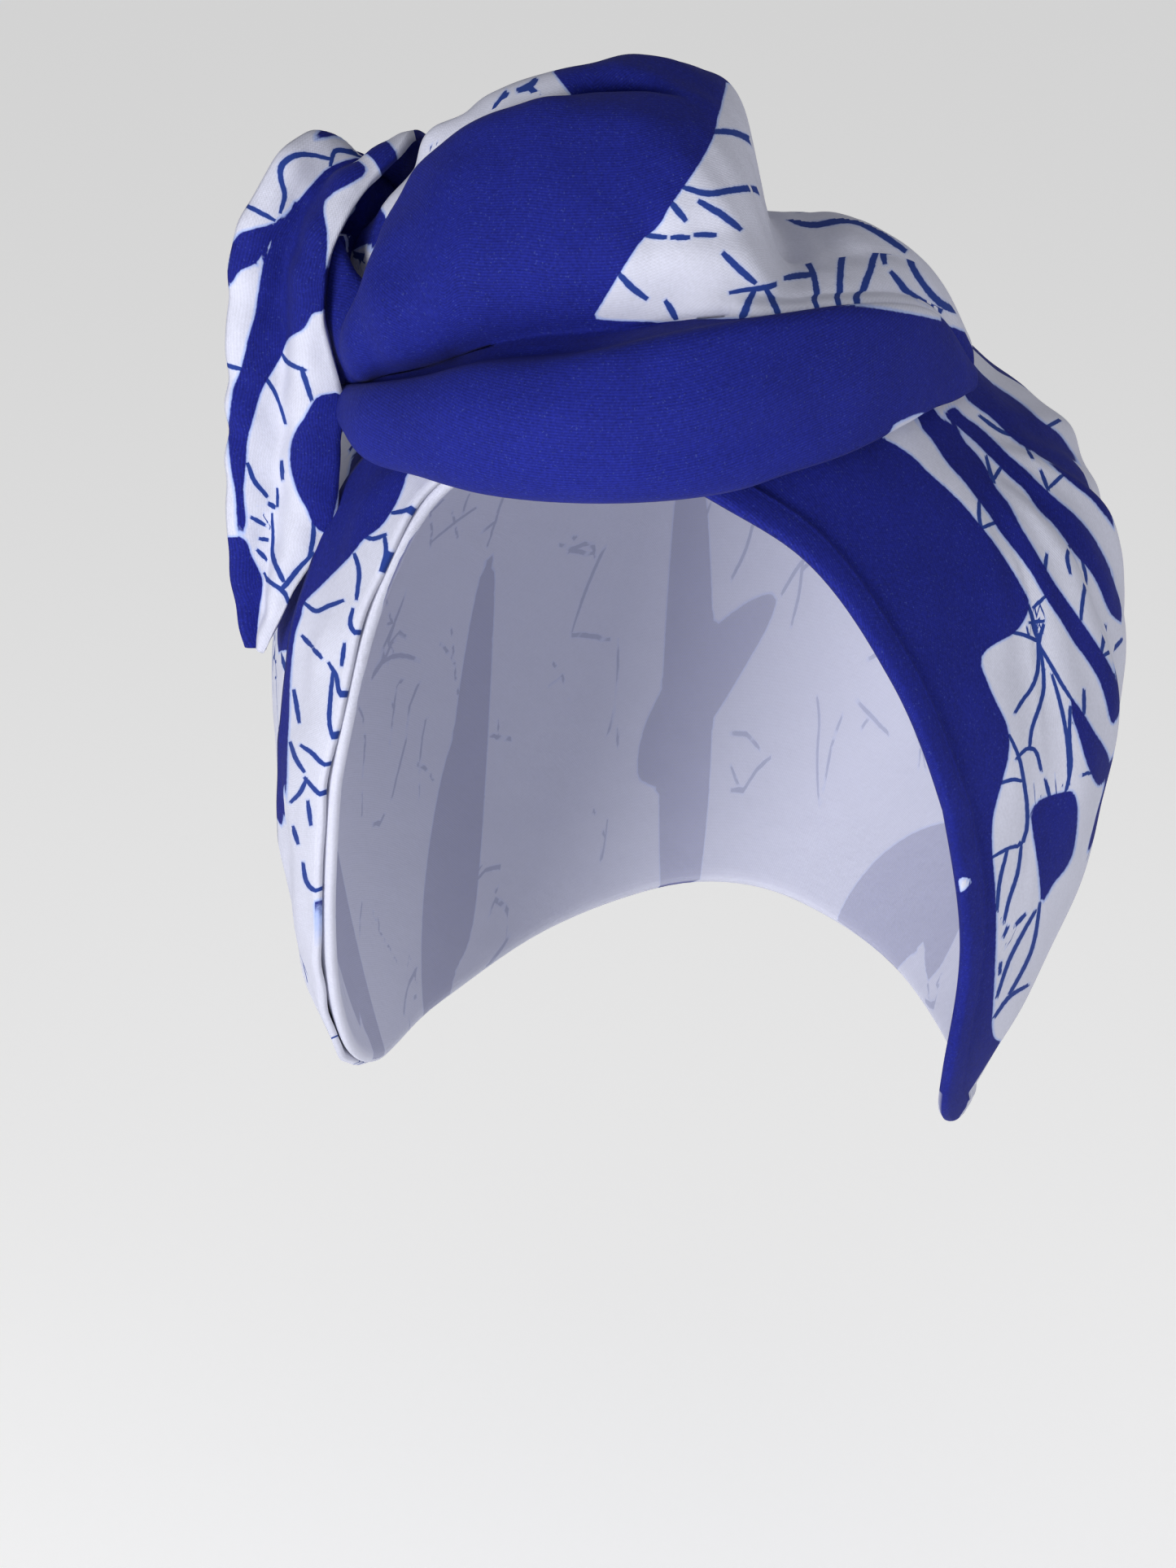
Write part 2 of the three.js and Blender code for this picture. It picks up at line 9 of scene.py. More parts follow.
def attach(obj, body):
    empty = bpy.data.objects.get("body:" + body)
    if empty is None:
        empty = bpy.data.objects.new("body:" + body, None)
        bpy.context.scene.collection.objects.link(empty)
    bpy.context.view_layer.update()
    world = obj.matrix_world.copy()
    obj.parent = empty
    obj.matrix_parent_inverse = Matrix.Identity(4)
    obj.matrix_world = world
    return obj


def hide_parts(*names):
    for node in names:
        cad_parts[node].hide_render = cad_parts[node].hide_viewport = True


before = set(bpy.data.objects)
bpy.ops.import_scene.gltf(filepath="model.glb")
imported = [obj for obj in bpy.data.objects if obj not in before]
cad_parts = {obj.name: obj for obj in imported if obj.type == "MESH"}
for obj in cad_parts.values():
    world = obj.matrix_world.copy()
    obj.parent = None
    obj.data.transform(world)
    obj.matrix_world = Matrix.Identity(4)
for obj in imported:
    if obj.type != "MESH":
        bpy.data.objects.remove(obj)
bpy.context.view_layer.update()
MM = 0.001

# The worn hollow, as in the part's source.
HALF_BREADTH = 81
FRONT_DEPTH = 96
BACK_DEPTH = 98
CROWN_HEIGHT = 90
LOWER_HEIGHT = 140
POLE_TILT = 50

# Cloth: the walls, the hem, the room between two layers, and how far the loose side stands off in
# pleats.
CAP_WALL = 1.6
HEM_WALL = 2.8
HEM_WIDTH = 6
BAND_WALL = 1.5
BOW_WALL = 2
TAIL_WALL = 2
CLEARANCE = 0.5
PUFF = 7.6
PLEAT = 2.2
PLEAT_COUNT = 11
FINE_PLEAT = 0.3
FINE_PLEAT_COUNT = 2.3 * PLEAT_COUNT

# Where the loose side fades, each as the two ends of a smooth step in degrees: towards the front, round
# the back, up to the crown, down to the rim, and out from the spot where its pleats gather. Then where,
# in degrees out from the same spot, the pleats end.
LOOSE_FRONT = (6, 40)
LOOSE_BACK = (-125, -55)
LOOSE_CROWN = (21, 46)
LOOSE_RIM = (-42, 2)
LOOSE_GATHER = (2, 17)
PLEATS_END = (35, 70)

# The bow, the tail and the knot. The tail's pleats and its bulge are shares of its fold, and the knot's
# grooves are shares of its radius, which lean by these two amounts over its height.
BOW_HEIGHT = 68
BOW_DEPTH = 18
BOW_DROP = 28
BOW_PIVOT = 60
TAIL_DROP = 75
TAIL_WIDTH = 17.5
TAIL_FOLD = 3.4
TAIL_PLEATS = 0.55
TAIL_BULGE = 0.75
KNOT_RADIUS = 8
KNOT_SPOT = np.array([-0.745 * HALF_BREADTH, -0.27 * FRONT_DEPTH, 0.09 * BOW_HEIGHT])
KNOT_SHAPE = (1.05, 1.1, 1.75)
KNOT_TURNS = 3
KNOT_LEANS = (3, 7)
KNOT_GROOVE = 0.12
KNOT_FINE = 0.25

# The cap's edges in millimetres: how far in the rim is rounded, its height there as a share of the
# hem's wall, where the hem's wall thins round its inner edge, the depth, half width and distance from
# that edge of its stitched groove, and how far from the rim the cap's own waves reach their full
# height.
RIM_ROUND = 1.5
RIM_SHARE = 0.45
HEM_THINS = (-0.4, 0.9)
STITCH_DEPTH = 0.35
STITCH_HALF = 0.45
STITCH_IN = 0.7
CAP_WAVES_FULL = 25

# How finely each cloth is made: its points along and across it, or the step between them. The cap's
# rows run from its pole down to the hem, and the hem's own rows are given by their distance from the
# rim.
BOW_ALONG = 226
BOW_PITCH = 0.95
BAND_POINTS = (150, 22)
TAIL_POINTS = (150, 30)
CAP_ROWS = 144
# The power that sets the cap's rows a little closer together towards the hem.
CAP_ROW_POWER = 0.9
LINING_ROWS = 56
CAP_TURNS = np.concatenate([
    np.arange(-180, -128, 2.4), np.arange(-128, -8, 1.4), np.arange(-8, 112, 0.55),
    np.arange(112, 180, 2.2), [180],
])
HEM_STEPS = np.array([8.4, 7.7, 7.1, 6.7, 6.3, 5.9, 5.5, 5, 4.2, 3.3, 2.4, 1.7, 1.1, 0.65, 0.3, 0.08])
MM_PER_DEGREE = (HALF_BREADTH + FRONT_DEPTH) / 2 * math.pi / 180

# Soft unevenness: how far each cloth waves, the length of its waves, and the seeds of all that is
# scattered.
BAND_SAG = 0.35
BAND_WAVE = 17
TAIL_CRUMPLE = 0.3
TAIL_WAVE = 9
CAP_CRUMPLE = 0.28
CAP_WAVE = 24
BOW_WAVE = 11
BOW_CREASE = 0.22
BOW_CREASE_BY_TAIL = 0.75
SEEDS = {"cap": 3, "band": 5, "tail": 8, "bow": 21, "print": 31, "lining": 44}
BOW_CREASE_STRETCH = (1, 1, 2.4)
# Where the bow's creases fade: in degrees of turn away from the tail, and in control steps up from the
# roll.
BOW_BY_TAIL = (-30, -12)
BOW_CREASED = (7.2, 9.5)
# How many waves are added up for a ripple, and how many halvings find the cap's outer face.
RIPPLE_WAVES = 14
HALVINGS = 26

# The photograph's size and focus in pixels, the point in the open front that the camera is measured
# from, its distance and direction from that point, and the turn and rise of its axis.
PHOTO_WIDE = 1445
PHOTO_HIGH = 1927
PHOTO_FOCUS = 4130
CAMERA_AIM = (0, -95, -118)
CAMERA_REACH = 620
CAMERA_TURN = 10
CAMERA_RISE = 26.5
AXIS_TURN = 10.2
AXIS_RISE = 23
PIXELS_PER_MM = PHOTO_FOCUS / CAMERA_REACH

# The studio: the floor's level, shade and glow, the even surround's strength, the lit spot in metres,
# and each panel's name, the turn and rise of its direction, its distance and size in metres, and its
# watts.
FLOOR_LEVEL = -330
FLOOR_SHADE = 0.94
FLOOR_GLOW = 0.35
SURROUND = 0.3
LIT_SPOT = (0, -0.03, -0.06)
LIGHTS = [
    ("key", -22, 2, 1.3, 0.5, 13.5),
    ("top", 20, 65, 1.4, 1.0, 0.8),
    ("side", 62, 12, 1.5, 0.8, 5),
]

# The dyes, the undyed cloth and the cotton's finish. The threads lie 0.52 mm apart, given here in
# metres.
PRINT_BLUE = (0.0085, 0.0132, 0.172, 1)
BOW_BLUE = (0.0088, 0.0138, 0.18, 1)
PRINT_PALE = (0.54, 0.55, 0.66, 1)
LINE_BLUE = (0.017, 0.042, 0.225, 1)
BLEED_BLUE = (0.25, 0.36, 0.74, 1)
THREAD_GAP = 0.00052
SHEEN = 0.015
SHEEN_ROUGHNESS = 0.45
SPECULAR = 0.12


def unit(turn, rise):
    """The direction from the part towards a viewer at a turn and a rise, in degrees."""
    turn, rise = math.radians(turn), math.radians(rise)
    return np.array([math.sin(turn) * math.cos(rise), -math.cos(turn) * math.cos(rise), math.sin(rise)])


VIEWPOINT = np.array(CAMERA_AIM) + CAMERA_REACH * unit(CAMERA_TURN, CAMERA_RISE)
BACKWARD = unit(AXIS_TURN, AXIS_RISE)
RIGHTWARD = np.array([math.cos(math.radians(AXIS_TURN)), math.sin(math.radians(AXIS_TURN)), 0])
UPWARD = np.cross(BACKWARD, RIGHTWARD)


def make_camera():
    """A camera at the photograph's angle."""
    lens = bpy.data.cameras.new("camera")
    lens.sensor_width = 36
    lens.lens = lens.sensor_width * PHOTO_FOCUS / PHOTO_HIGH
    lens.clip_start = 0.01
    camera = bpy.data.objects.new("camera", lens)
    bpy.context.scene.collection.objects.link(camera)
    place = Matrix(np.stack([RIGHTWARD, UPWARD, BACKWARD], axis=1).tolist()).to_4x4()
    place.translation = Vector(VIEWPOINT * MM)
    camera.matrix_world = place
    bpy.context.scene.camera = camera


make_camera()


def course(names, rows, key=None):
    """A table's rows as one smooth function of one column, or of the row number where none is named."""
    names = names.split()
    table = np.array(rows, float)
    places = table[:, names.index(key)] if key else np.arange(len(rows), dtype=float)
    slopes = np.diff(table, axis=0) / np.diff(places)[:, None]
    leans = np.vstack([slopes[:1], (slopes[1:] + slopes[:-1]) / 2, slopes[-1:]])

    def at(x):
        x = np.asarray(x, float)
        i = np.clip(np.searchsorted(places, x, "right") - 1, 0, len(places) - 2)
        gap = (places[i + 1] - places[i])[..., None]
        p = (x - places[i])[..., None] / gap
        found = (
            table[i] * (1 + 2 * p) * (1 - p) ** 2
            + leans[i] * gap * p * (1 - p) ** 2
            + table[i + 1] * p**2 * (3 - 2 * p)
            + leans[i + 1] * gap * p**2 * (p - 1)
        )
        return {name: found[..., k] for k, name in enumerate(names)}

    return at


def ease(low, high, x):
    """A smooth step from 0 at low to 1 at high."""
    share = np.clip((np.asarray(x, float) - low) / (high - low), 0, 1)
    return share * share * (3 - 2 * share)


def mix(a, b, share):
    """The value at a share of the way from a to b."""
    return a + (b - a) * share


def ripple(spots, length, seed, stretch=(1, 1, 1)):
    """Smooth uneven waves of about a length, mostly between -1 and 1, the same on every run."""
    rng = np.random.default_rng(seed)
    total = np.zeros(spots.shape[:-1])
    for _ in range(RIPPLE_WAVES):
        way = rng.normal(size=3)
        way *= 2 * math.pi / (length * np.linalg.norm(way)) * rng.uniform(0.6, 1.5)
        total += np.cos((spots / np.array(stretch)) @ way + rng.uniform(0, 2 * math.pi))
    return total / RIPPLE_WAVES**0.5


def through(points, counts):
    """A smooth line through points (last two axes), with a number of steps between each two."""
    ends = [2 * points[..., :1, :] - points[..., 1:2, :], 2 * points[..., -1:, :] - points[..., -2:-1, :]]
    stops = np.concatenate([ends[0], points, ends[1]], axis=-2)
    reach = np.maximum(np.linalg.norm(np.diff(stops, axis=-2), axis=-1) ** 0.5, 1e-4)[..., None]
    runs = []
    for k, count in enumerate(counts):
        a, b, c, d = (stops[..., k + j, :] for j in range(4))
        before, between, after = (reach[..., k + j, :] for j in range(3))
        start = ((b - a) / before - (c - a) / (before + between) + (c - b) / between) * between
        end = ((c - b) / between - (d - b) / (between + after) + (d - c) / after) * between
        for step in range(count):
            p = step / count
            runs.append(
                b * (1 + 2 * p) * (1 - p) ** 2
                + start * p * (1 - p) ** 2
                + c * p**2 * (3 - 2 * p)
                + end * p**2 * (p - 1)
            )
    runs.append(points[..., -1, :])
    return np.stack(runs, axis=-2)


def normals_of(grid):
    """Unit normals of a grid of points."""
    out = np.cross(np.gradient(grid, axis=0), np.gradient(grid, axis=1))
    return out / np.maximum(np.linalg.norm(out, axis=-1, keepdims=True), 1e-9)


def direction(turn, reach):
    """A direction from the hollow's middle: a turn round its tilted pole and a reach down from it."""
    turn, reach = np.radians(turn), np.radians(reach)
    tilt = math.radians(POLE_TILT)
    side = np.sin(reach) * np.sin(turn)
    front = np.sin(reach) * np.cos(turn)
    up = np.cos(reach)
    return np.stack([
        side,
        -front * math.cos(tilt) + up * math.sin(tilt),
        front * math.sin(tilt) + up * math.cos(tilt),
    ], axis=-1)


def half_sizes(along, up):
    """The worn form's half depth and half height on the side where a point or a direction lies."""
    return np.where(along < 0, FRONT_DEPTH, BACK_DEPTH), np.where(up > 0, CROWN_HEIGHT, LOWER_HEIGHT)


def form_point(way, lift):
    """The point of the worn form in a direction, lifted off it."""
    depth, height = half_sizes(way[..., 1], way[..., 2])
    return np.stack([
        way[..., 0] * (HALF_BREADTH + lift),
        way[..., 1] * (depth + lift),
        way[..., 2] * (height + lift) - CROWN_HEIGHT,
    ], axis=-1)


def form_way(point):
    """The direction in which the worn form's point lies nearest below a point."""
    up = point[..., 2] + CROWN_HEIGHT
    depth, height = half_sizes(point[..., 1], up)
    way = np.stack([point[..., 0] / HALF_BREADTH, point[..., 1] / depth, up / height], axis=-1)
    return way / np.linalg.norm(way, axis=-1, keepdims=True)


# The rim of the cap, all the way round.
RIM = course("turn reach", [
    (-192, 79), (-180, 77), (-168, 79), (-151, 88), (-134, 104), (-118, 121), (-101, 130), (-85, 132.5),
    (-70, 131.5), (-57, 127.5), (-44, 119), (-34, 106.8), (-26, 97.5), (-15, 94.2), (0, 94.5), (14, 98.9),
    (25, 102.6), (41, 112), (58, 121.2), (75, 126.5), (92, 132), (104, 131), (118, 121), (134, 104),
    (151, 88), (168, 79), (180, 77), (192, 79),
], "turn")

# The spot where the loose side's pleats gather, at the bow's end, with its two sideways directions.
GATHER = np.array([0.64, -0.31, 0.71]) / np.linalg.norm([0.64, -0.31, 0.71])
GATHER_SIDE = np.cross([0, 0, 1], GATHER) / np.linalg.norm(np.cross([0, 0, 1], GATHER))
GATHER_UP = np.cross(GATHER, GATHER_SIDE)


def cap_lift(way, fine=False):
    """How far the loose side stands off the worn form, in pleats that run out from the bow's end."""
    forward = np.degrees(np.arctan2(-way[..., 1], way[..., 0]))
    upward = np.degrees(np.arcsin(np.clip(way[..., 2], -1, 1)))
    reach = np.degrees(np.arccos(np.clip(way @ GATHER, -1, 1)))
    bearing = np.arctan2(way @ GATHER_SIDE, way @ GATHER_UP)
    sided = (1 - ease(*LOOSE_FRONT, forward)) * ease(*LOOSE_BACK, forward)
    level = (1 - ease(*LOOSE_CROWN, upward)) * ease(*LOOSE_RIM, upward)
    swell = sided * level * ease(*LOOSE_GATHER, reach)
    folds = 0.5 + 0.5 * np.cos(bearing * PLEAT_COUNT)
    if fine:
        waver = 1.3 * np.cos(reach / 9)
        folds = folds + FINE_PLEAT * np.cos(bearing * FINE_PLEAT_COUNT + waver) - 0.1
    return swell * (PUFF + PLEAT * folds * (1 - ease(*PLEATS_END, reach)))


def cap_share(point, gap):
    """How far out a point lies as a share of the cap's outer face with a gap: under 1 is inside it."""
    up = point[..., 2] + CROWN_HEIGHT
    depth, height = half_sizes(point[..., 1], up)
    lift = cap_lift(form_way(point)) + CAP_WALL + gap
    return (
        (point[..., 0] / (HALF_BREADTH + lift)) ** 2
        + (point[..., 1] / (depth + lift)) ** 2
        + (up / (height + lift)) ** 2
    ) ** 0.5


def off_the_cap(point, gap):
    """Points that would lie in the cap are moved out to its outer face."""
    share = cap_share(point, gap)[..., None]
    middle = np.array([0, 0, -CROWN_HEIGHT])
    return np.where(share < 1, middle + (point - middle) / np.maximum(share, 0.3), point)


# The band lies on the cap, a row for each step from its top to its lower end.
BAND = course("front back reach", [
    (-9, -22, 76), (-16, -30, 82), (-25, -38, 87.5), (-31, -44, 92), (-38, -51, 101), (-47, -58, 108),
    (-58, -66, 114), (-74, -79, 117), (-96, -97, 112), (-116, -113, 101), (-134, -128, 87),
])
BAND_STEPS = 10
BAND_INSET = 0.6


def band_grid(along, across):
    """The band's middle face, with its front edge on the hem and its back edge on the cap."""
    places = np.linspace(0.1, BAND_STEPS, along)[:, None]
    share = np.linspace(0, 1, across)[None, :]
    row = BAND(places)
    front = RIM(row["front"])["reach"] - BAND_INSET
    way = direction(mix(row["front"], row["back"], share), mix(front, row["reach"], share))
    under = mix(CAP_WALL, HEM_WALL, 1 - ease(0.3, 0.7, share))
    sag = BAND_SAG * ripple(form_point(way, 0), BAND_WAVE, SEEDS["band"])
    return form_point(way, cap_lift(way) + under + CLEARANCE + BAND_WALL / 2 + np.maximum(sag, -0.2))


# The bow, a row for each upright section in a fan round the form, as in the part's source.
BOW = course("turn sweep low out fold nip swell edge rise tuck back crest foot close", [
    (-36, 4, 0.08, 0.45, 0.1, 0.08, 0.6, 0.5, 0.44, 0.02, 0.4, 0.44, -0.2, 0.45),
    (-34.5, 3.5, 0.055, 0.6, 0.085, 0.12, 0.72, 0.7, 0.485, 0.06, 0.53, 0.5, -0.4, 0),
    (-30.5, 2.5, 0.025, 0.74, 0.09, 0.2, 0.9, 0.83, 0.5, 0.22, 0.06, 0.6, -1.2, 0),
    (-26, 0, 0.01, 0.8, 0.13, 0.28, 0.72, 0.28, 0.4, 0.26, -0.33, 0.68, -2.05, 0),
    (-21.5, -1, -0.01, 0.88, 0.18, 0.36, 0.66, -0.23, 0.68, 0.23, -0.76, 0.8, -3.2, 0),
    (-16, -1.5, 0, 0.93, 0.24, 0.44, 0.52, -0.55, 0.84, 0.18, -1.28, 0.9, -3.9, 0),
    (-10, -1, 0, 0.97, 0.32, 0.5, 0.26, -0.87, 0.93, 0.13, -1.8, 0.965, -4.35, 0),
    (-3, 0, 0.01, 1, 0.37, 0.5, 0.06, -1.08, 0.96, 0.06, -2.25, 0.995, -4.7, 0),
    (4, 0, 0.02, 0.9, 0.43, 0.42, -0.08, -1.15, 0.92, 0, -2.4, 0.96, -4.8, 0),
    (9, 0, 0.03, 0.74, 0.45, 0.34, -0.15, -1, 0.78, 0, -2.25, 0.865, -4.6, 0),
    (13, 0, 0.05, 0.64, 0.45, 0.28, -0.17, -0.95, 0.515, 0.02, -2.05, 0.54, -4.3, 0),
    (18, 0, 0.065, 0.55, 0.44, 0.26, -0.17, -0.75, 0.495, 0, -1.65, 0.52, -3.9, 0),
    (24, 0, 0.085, 0.47, 0.4, 0.22, -0.12, -0.52, 0.49, 0, -1.05, 0.535, -3.3, 0),
    (29.5, 0, 0.09, 0.37, 0.33, 0.16, -0.04, -0.24, 0.435, 0, -0.6, 0.47, -2.6, 0),
    (34.5, 0, 0.075, 0.28, 0.2, 0.1, 0.05, -0.05, 0.3, 0, -0.35, 0.36, -1.6, 0),
    (38, 0, 0.055, 0.18, 0.12, 0.04, 0.06, 0, 0.2, 0, -0.15, 0.24, -0.8, 0.3),
])
BOW_STEPS = 15
# The control point of a section at which its front layer turns over into its back layer.
BOW_EDGE = 12


def fan_point(turn, away, height):
    """A point from its turn round the bow's upright axis, its distance from it and its height."""
    turn = np.radians(turn)
    turn, away, height = np.broadcast_arrays(turn, away, height)
    return np.stack([away * np.sin(turn), BOW_PIVOT - away * np.cos(turn), height], axis=-1)


def face_of_cap(low, high, point_at):
    """The value between two bounds at which a point leaves the cap through its outer face."""
    for _ in range(HALVINGS):
        middle = (low + high) / 2
        inside = cap_share(point_at(middle), 0) < 1
        low, high = np.where(inside, middle, low), np.where(inside, high, middle)
    return low


def cap_range(turn, height):
    """The distance from the bow's axis to the cap's outer face at a turn and a height."""
    near = np.zeros(np.shape(turn))
    far = near + 2 * (FRONT_DEPTH + BOW_PIVOT)
    return face_of_cap(near, far, lambda away: fan_point(turn, away, height))


def cap_level(turn, away):
    """The height of the cap's outer face at a turn and a distance from the same axis."""
    low = np.full(np.shape(turn), -float(CROWN_HEIGHT))
    return face_of_cap(low, -low, lambda height: fan_point(turn, away, height))


def bow_controls(places):
    """The control points of the bow's sections, from under the roll up over the crest to the crown."""
    row = BOW(places)
    levels = ("low", "fold", "rise", "crest")
    low, fold, rise, crest = (row[level] * BOW_HEIGHT - BOW_DROP for level in levels)
    roll = fold - low
    cap = cap_range(row["turn"], low)
    rest = CLEARANCE + BOW_WALL / 2
    front = cap + row["out"] * BOW_DEPTH
    thick = np.minimum(row["out"] * BOW_DEPTH, roll)
    lip = front - 0.3 * thick
    nip = lip - row["nip"] * BOW_DEPTH
    seat = low + 0.3 * roll
    reaches = ("edge", "back", "swell", "foot")
    edge, back, swell, foot = (cap + row[reach] * BOW_DEPTH for reach in reaches)
    tuck = row["tuck"] * BOW_HEIGHT
    crest_turn = row["turn"] + row["sweep"]
    floor = cap_level(crest_turn, foot) + rest
    points = [
        (cap_range(row["turn"], seat) + rest, seat, 0),
        (mix(cap + rest, front, 0.25), low + 0.06 * roll, 0),
        (front - 0.32 * thick, low, 0),
        (front - 0.07 * thick, low + 0.18 * roll, 0),
        (front, low + 0.48 * roll, 0),
        (front - 0.08 * thick, low + 0.8 * roll, 0),
        (lip, fold, 0),
        (lip - row["nip"] * BOW_DEPTH * 0.9, fold - 0.02 * roll, 0.05),
        (nip, fold + 0.05 * (rise - fold), 0.08),
        (mix(nip, swell, 0.75), mix(fold, rise, 0.16), 0.1),
        (swell, mix(fold, rise, 0.42), 0.2),
        (mix(swell, edge, 0.42), mix(fold, rise, 0.78), 0.35),
        (edge, rise, 0.5),
        (mix(edge, back, 0.24), mix(rise, crest, 0.4) - tuck, 0.62),
        (mix(edge, back, 0.66), mix(rise, crest, 0.86) - 0.18 * tuck, 0.85),
        (back, crest, 1),
        (mix(back, foot, 0.22), mix(crest, floor, 0.07), 1),
        (mix(back, foot, 0.55), mix(crest, floor, 0.34), 1),
        (mix(back, foot, 0.85), mix(crest, floor, 0.76), 1),
        (foot, floor, 1),
    ]
    middle = (cap + rest + BOW_WALL, mix(low, rise, 0.35))
    return np.stack([
        fan_point(
            mix(row["turn"], crest_turn, share),
            mix(away, middle[0], row["close"]),
            mix(height, middle[1], row["close"]),
        )
        for away, height, share in points
    ], axis=1)


# Where the bow's cloth is pressed in, or with a negative depth stands up: a line of photograph pixels,
# the first and last control step that it reaches, its half width and its depth in millimetres.
BOW_DENTS = [
    ([(570, 440), (610, 422), (650, 414), (740, 410), (820, 405), (890, 399)], (7.4, 11.8), 3.2, 4.6),
    ([(540, 430), (600, 408), (660, 398), (740, 396), (820, 392)], (7.4, 11.8), 6.0, 2.4),
    ([(400, 420), (425, 450), (455, 462), (500, 462), (556, 444)], (7.4, 11.8), 2.6, 2.6),
    ([(606, 436), (630, 441), (660, 440), (690, 434)], (5, 7.4), 1.5, 1.6),
    ([(436, 470), (430, 440), (432, 400), (446, 360)], (8, 12), 3.4, -1.9),
    ([(715, 124), (760, 122), (800, 126), (835, 140)], (11.8, 15), 2.6, 4.5),
    ([(800, 290), (860, 286), (960, 288), (1040, 296)], (8.5, 12), 3.0, 1.2),
    ([(520, 500), (640, 512), (800, 505), (960, 478)], (3, 7), 4.5, -0.7),
    ([(820, 560), (960, 530), (1080, 500)], (2, 6), 3.0, 0.8),
]
# Over how many control steps a dent fades out, to each side of its first and last one.
DENT_FADE = 0.6


def step_distance(spots, a, b):
    """The distance of spots from one straight step of a line."""
    span = b - a
    along = np.clip((spots - a) @ span / max(span @ span, 1e-9), 0, 1)
    return np.linalg.norm(spots - a - along[:, None] * span, axis=1)


def press_dents(grid, steps, dents):
    """The grid with its dents pressed in, straight away from the camera."""
    pixels, _ = project(grid.reshape(-1, 3))
    spots = pixels / PIXELS_PER_MM
    for line, (first, last), half, depth in dents:
        trace = rounded(line, False) / PIXELS_PER_MM
        away = np.full(len(spots), FAR)
        for a, b in zip(trace[:-1], trace[1:]):
            away = np.minimum(away, step_distance(spots, a, b))
        share = np.exp(-((away / half) ** 2)).reshape(steps.shape)
        share = share * ease(first - DENT_FADE, first + DENT_FADE, steps)
        share = share * (1 - ease(last - DENT_FADE, last + DENT_FADE, steps))
        sight = grid - VIEWPOINT
        grid = grid + sight / np.linalg.norm(sight, axis=-1, keepdims=True) * (depth * share)[..., None]
    return grid


def bow_grid():
    """The bow's middle face and, for each point, its place along the section's control points."""
    controls = bow_controls(np.linspace(0, BOW_STEPS, BOW_ALONG))
    spans = np.linalg.norm(np.diff(controls, axis=1), axis=2).mean(axis=0)
    counts = [max(3, round(span / BOW_PITCH)) for span in spans]
    grid = through(controls, counts)
    steps = [k + np.arange(count) / count for k, count in enumerate(counts)]
    steps = np.concatenate([*steps, [len(counts)]])
    return grid, np.broadcast_to(steps, grid.shape[:2])


def creased_bow():
    """The bow's grid with soft creases, most of them by the tail, and with its dents, kept off the cap."""
    bow, steps = bow_grid()
    turn = np.degrees(np.arctan2(bow[..., 0], BOW_PIVOT - bow[..., 1]))
    by_tail = 1 - ease(*BOW_BY_TAIL, turn)
    creases = ripple(bow, BOW_WAVE, SEEDS["bow"], BOW_CREASE_STRETCH)
    creases = creases * (BOW_CREASE + BOW_CREASE_BY_TAIL * by_tail) * ease(*BOW_CREASED, steps)
    bow = bow + normals_of(bow) * creases[..., None]
    bow = press_dents(bow, steps, BOW_DENTS)
    return off_the_cap(bow, CLEARANCE + BOW_WALL / 2), steps


# The tail, a row for each section from its root to its tip.
TAIL = course("x y z width face fold", [
    (-0.69, -0.07, -0.2, 0.55, 60, 0.4),
    (-0.65, -0.14, 0.05, 0.75, 50, 0.5),
    (-0.64, -0.21, 0.21, 0.85, 42, 0.6),
    (-0.68, -0.3, 0.285, 0.95, 30, 0.7),
    (-0.745, -0.39, 0.275, 1, 8, 0.9),
    (-0.8, -0.46, 0.19, 1.05, -10, 1),
    (-0.845, -0.5, 0.06, 1.12, -18, 1),
    (-0.86, -0.515, -0.15, 1.14, -20, 1),
    (-0.87, -0.525, -0.38, 1.1, -20, 0.9),
    (-0.885, -0.53, -0.61, 1.05, -20, 0.8),
    (-0.915, -0.52, -0.81, 0.7, -20, 0.6),
    (-0.935, -0.52, -0.97, 0.22, -20, 0.2),
])
TAIL_STEPS = 11
# The tail is blue from its root to this step, inside the arch.
TAIL_BLUE_ROOT = 2.7
# How far the tail's inner edge leans in behind the roll's end, and the steps over which it starts and
# stops.
TAIL_LEAN = np.array([3.8, 2.6, 0])
TAIL_LEAN_STARTS = (6.5, 7.7)
TAIL_LEAN_STOPS = (8.7, 9.9)


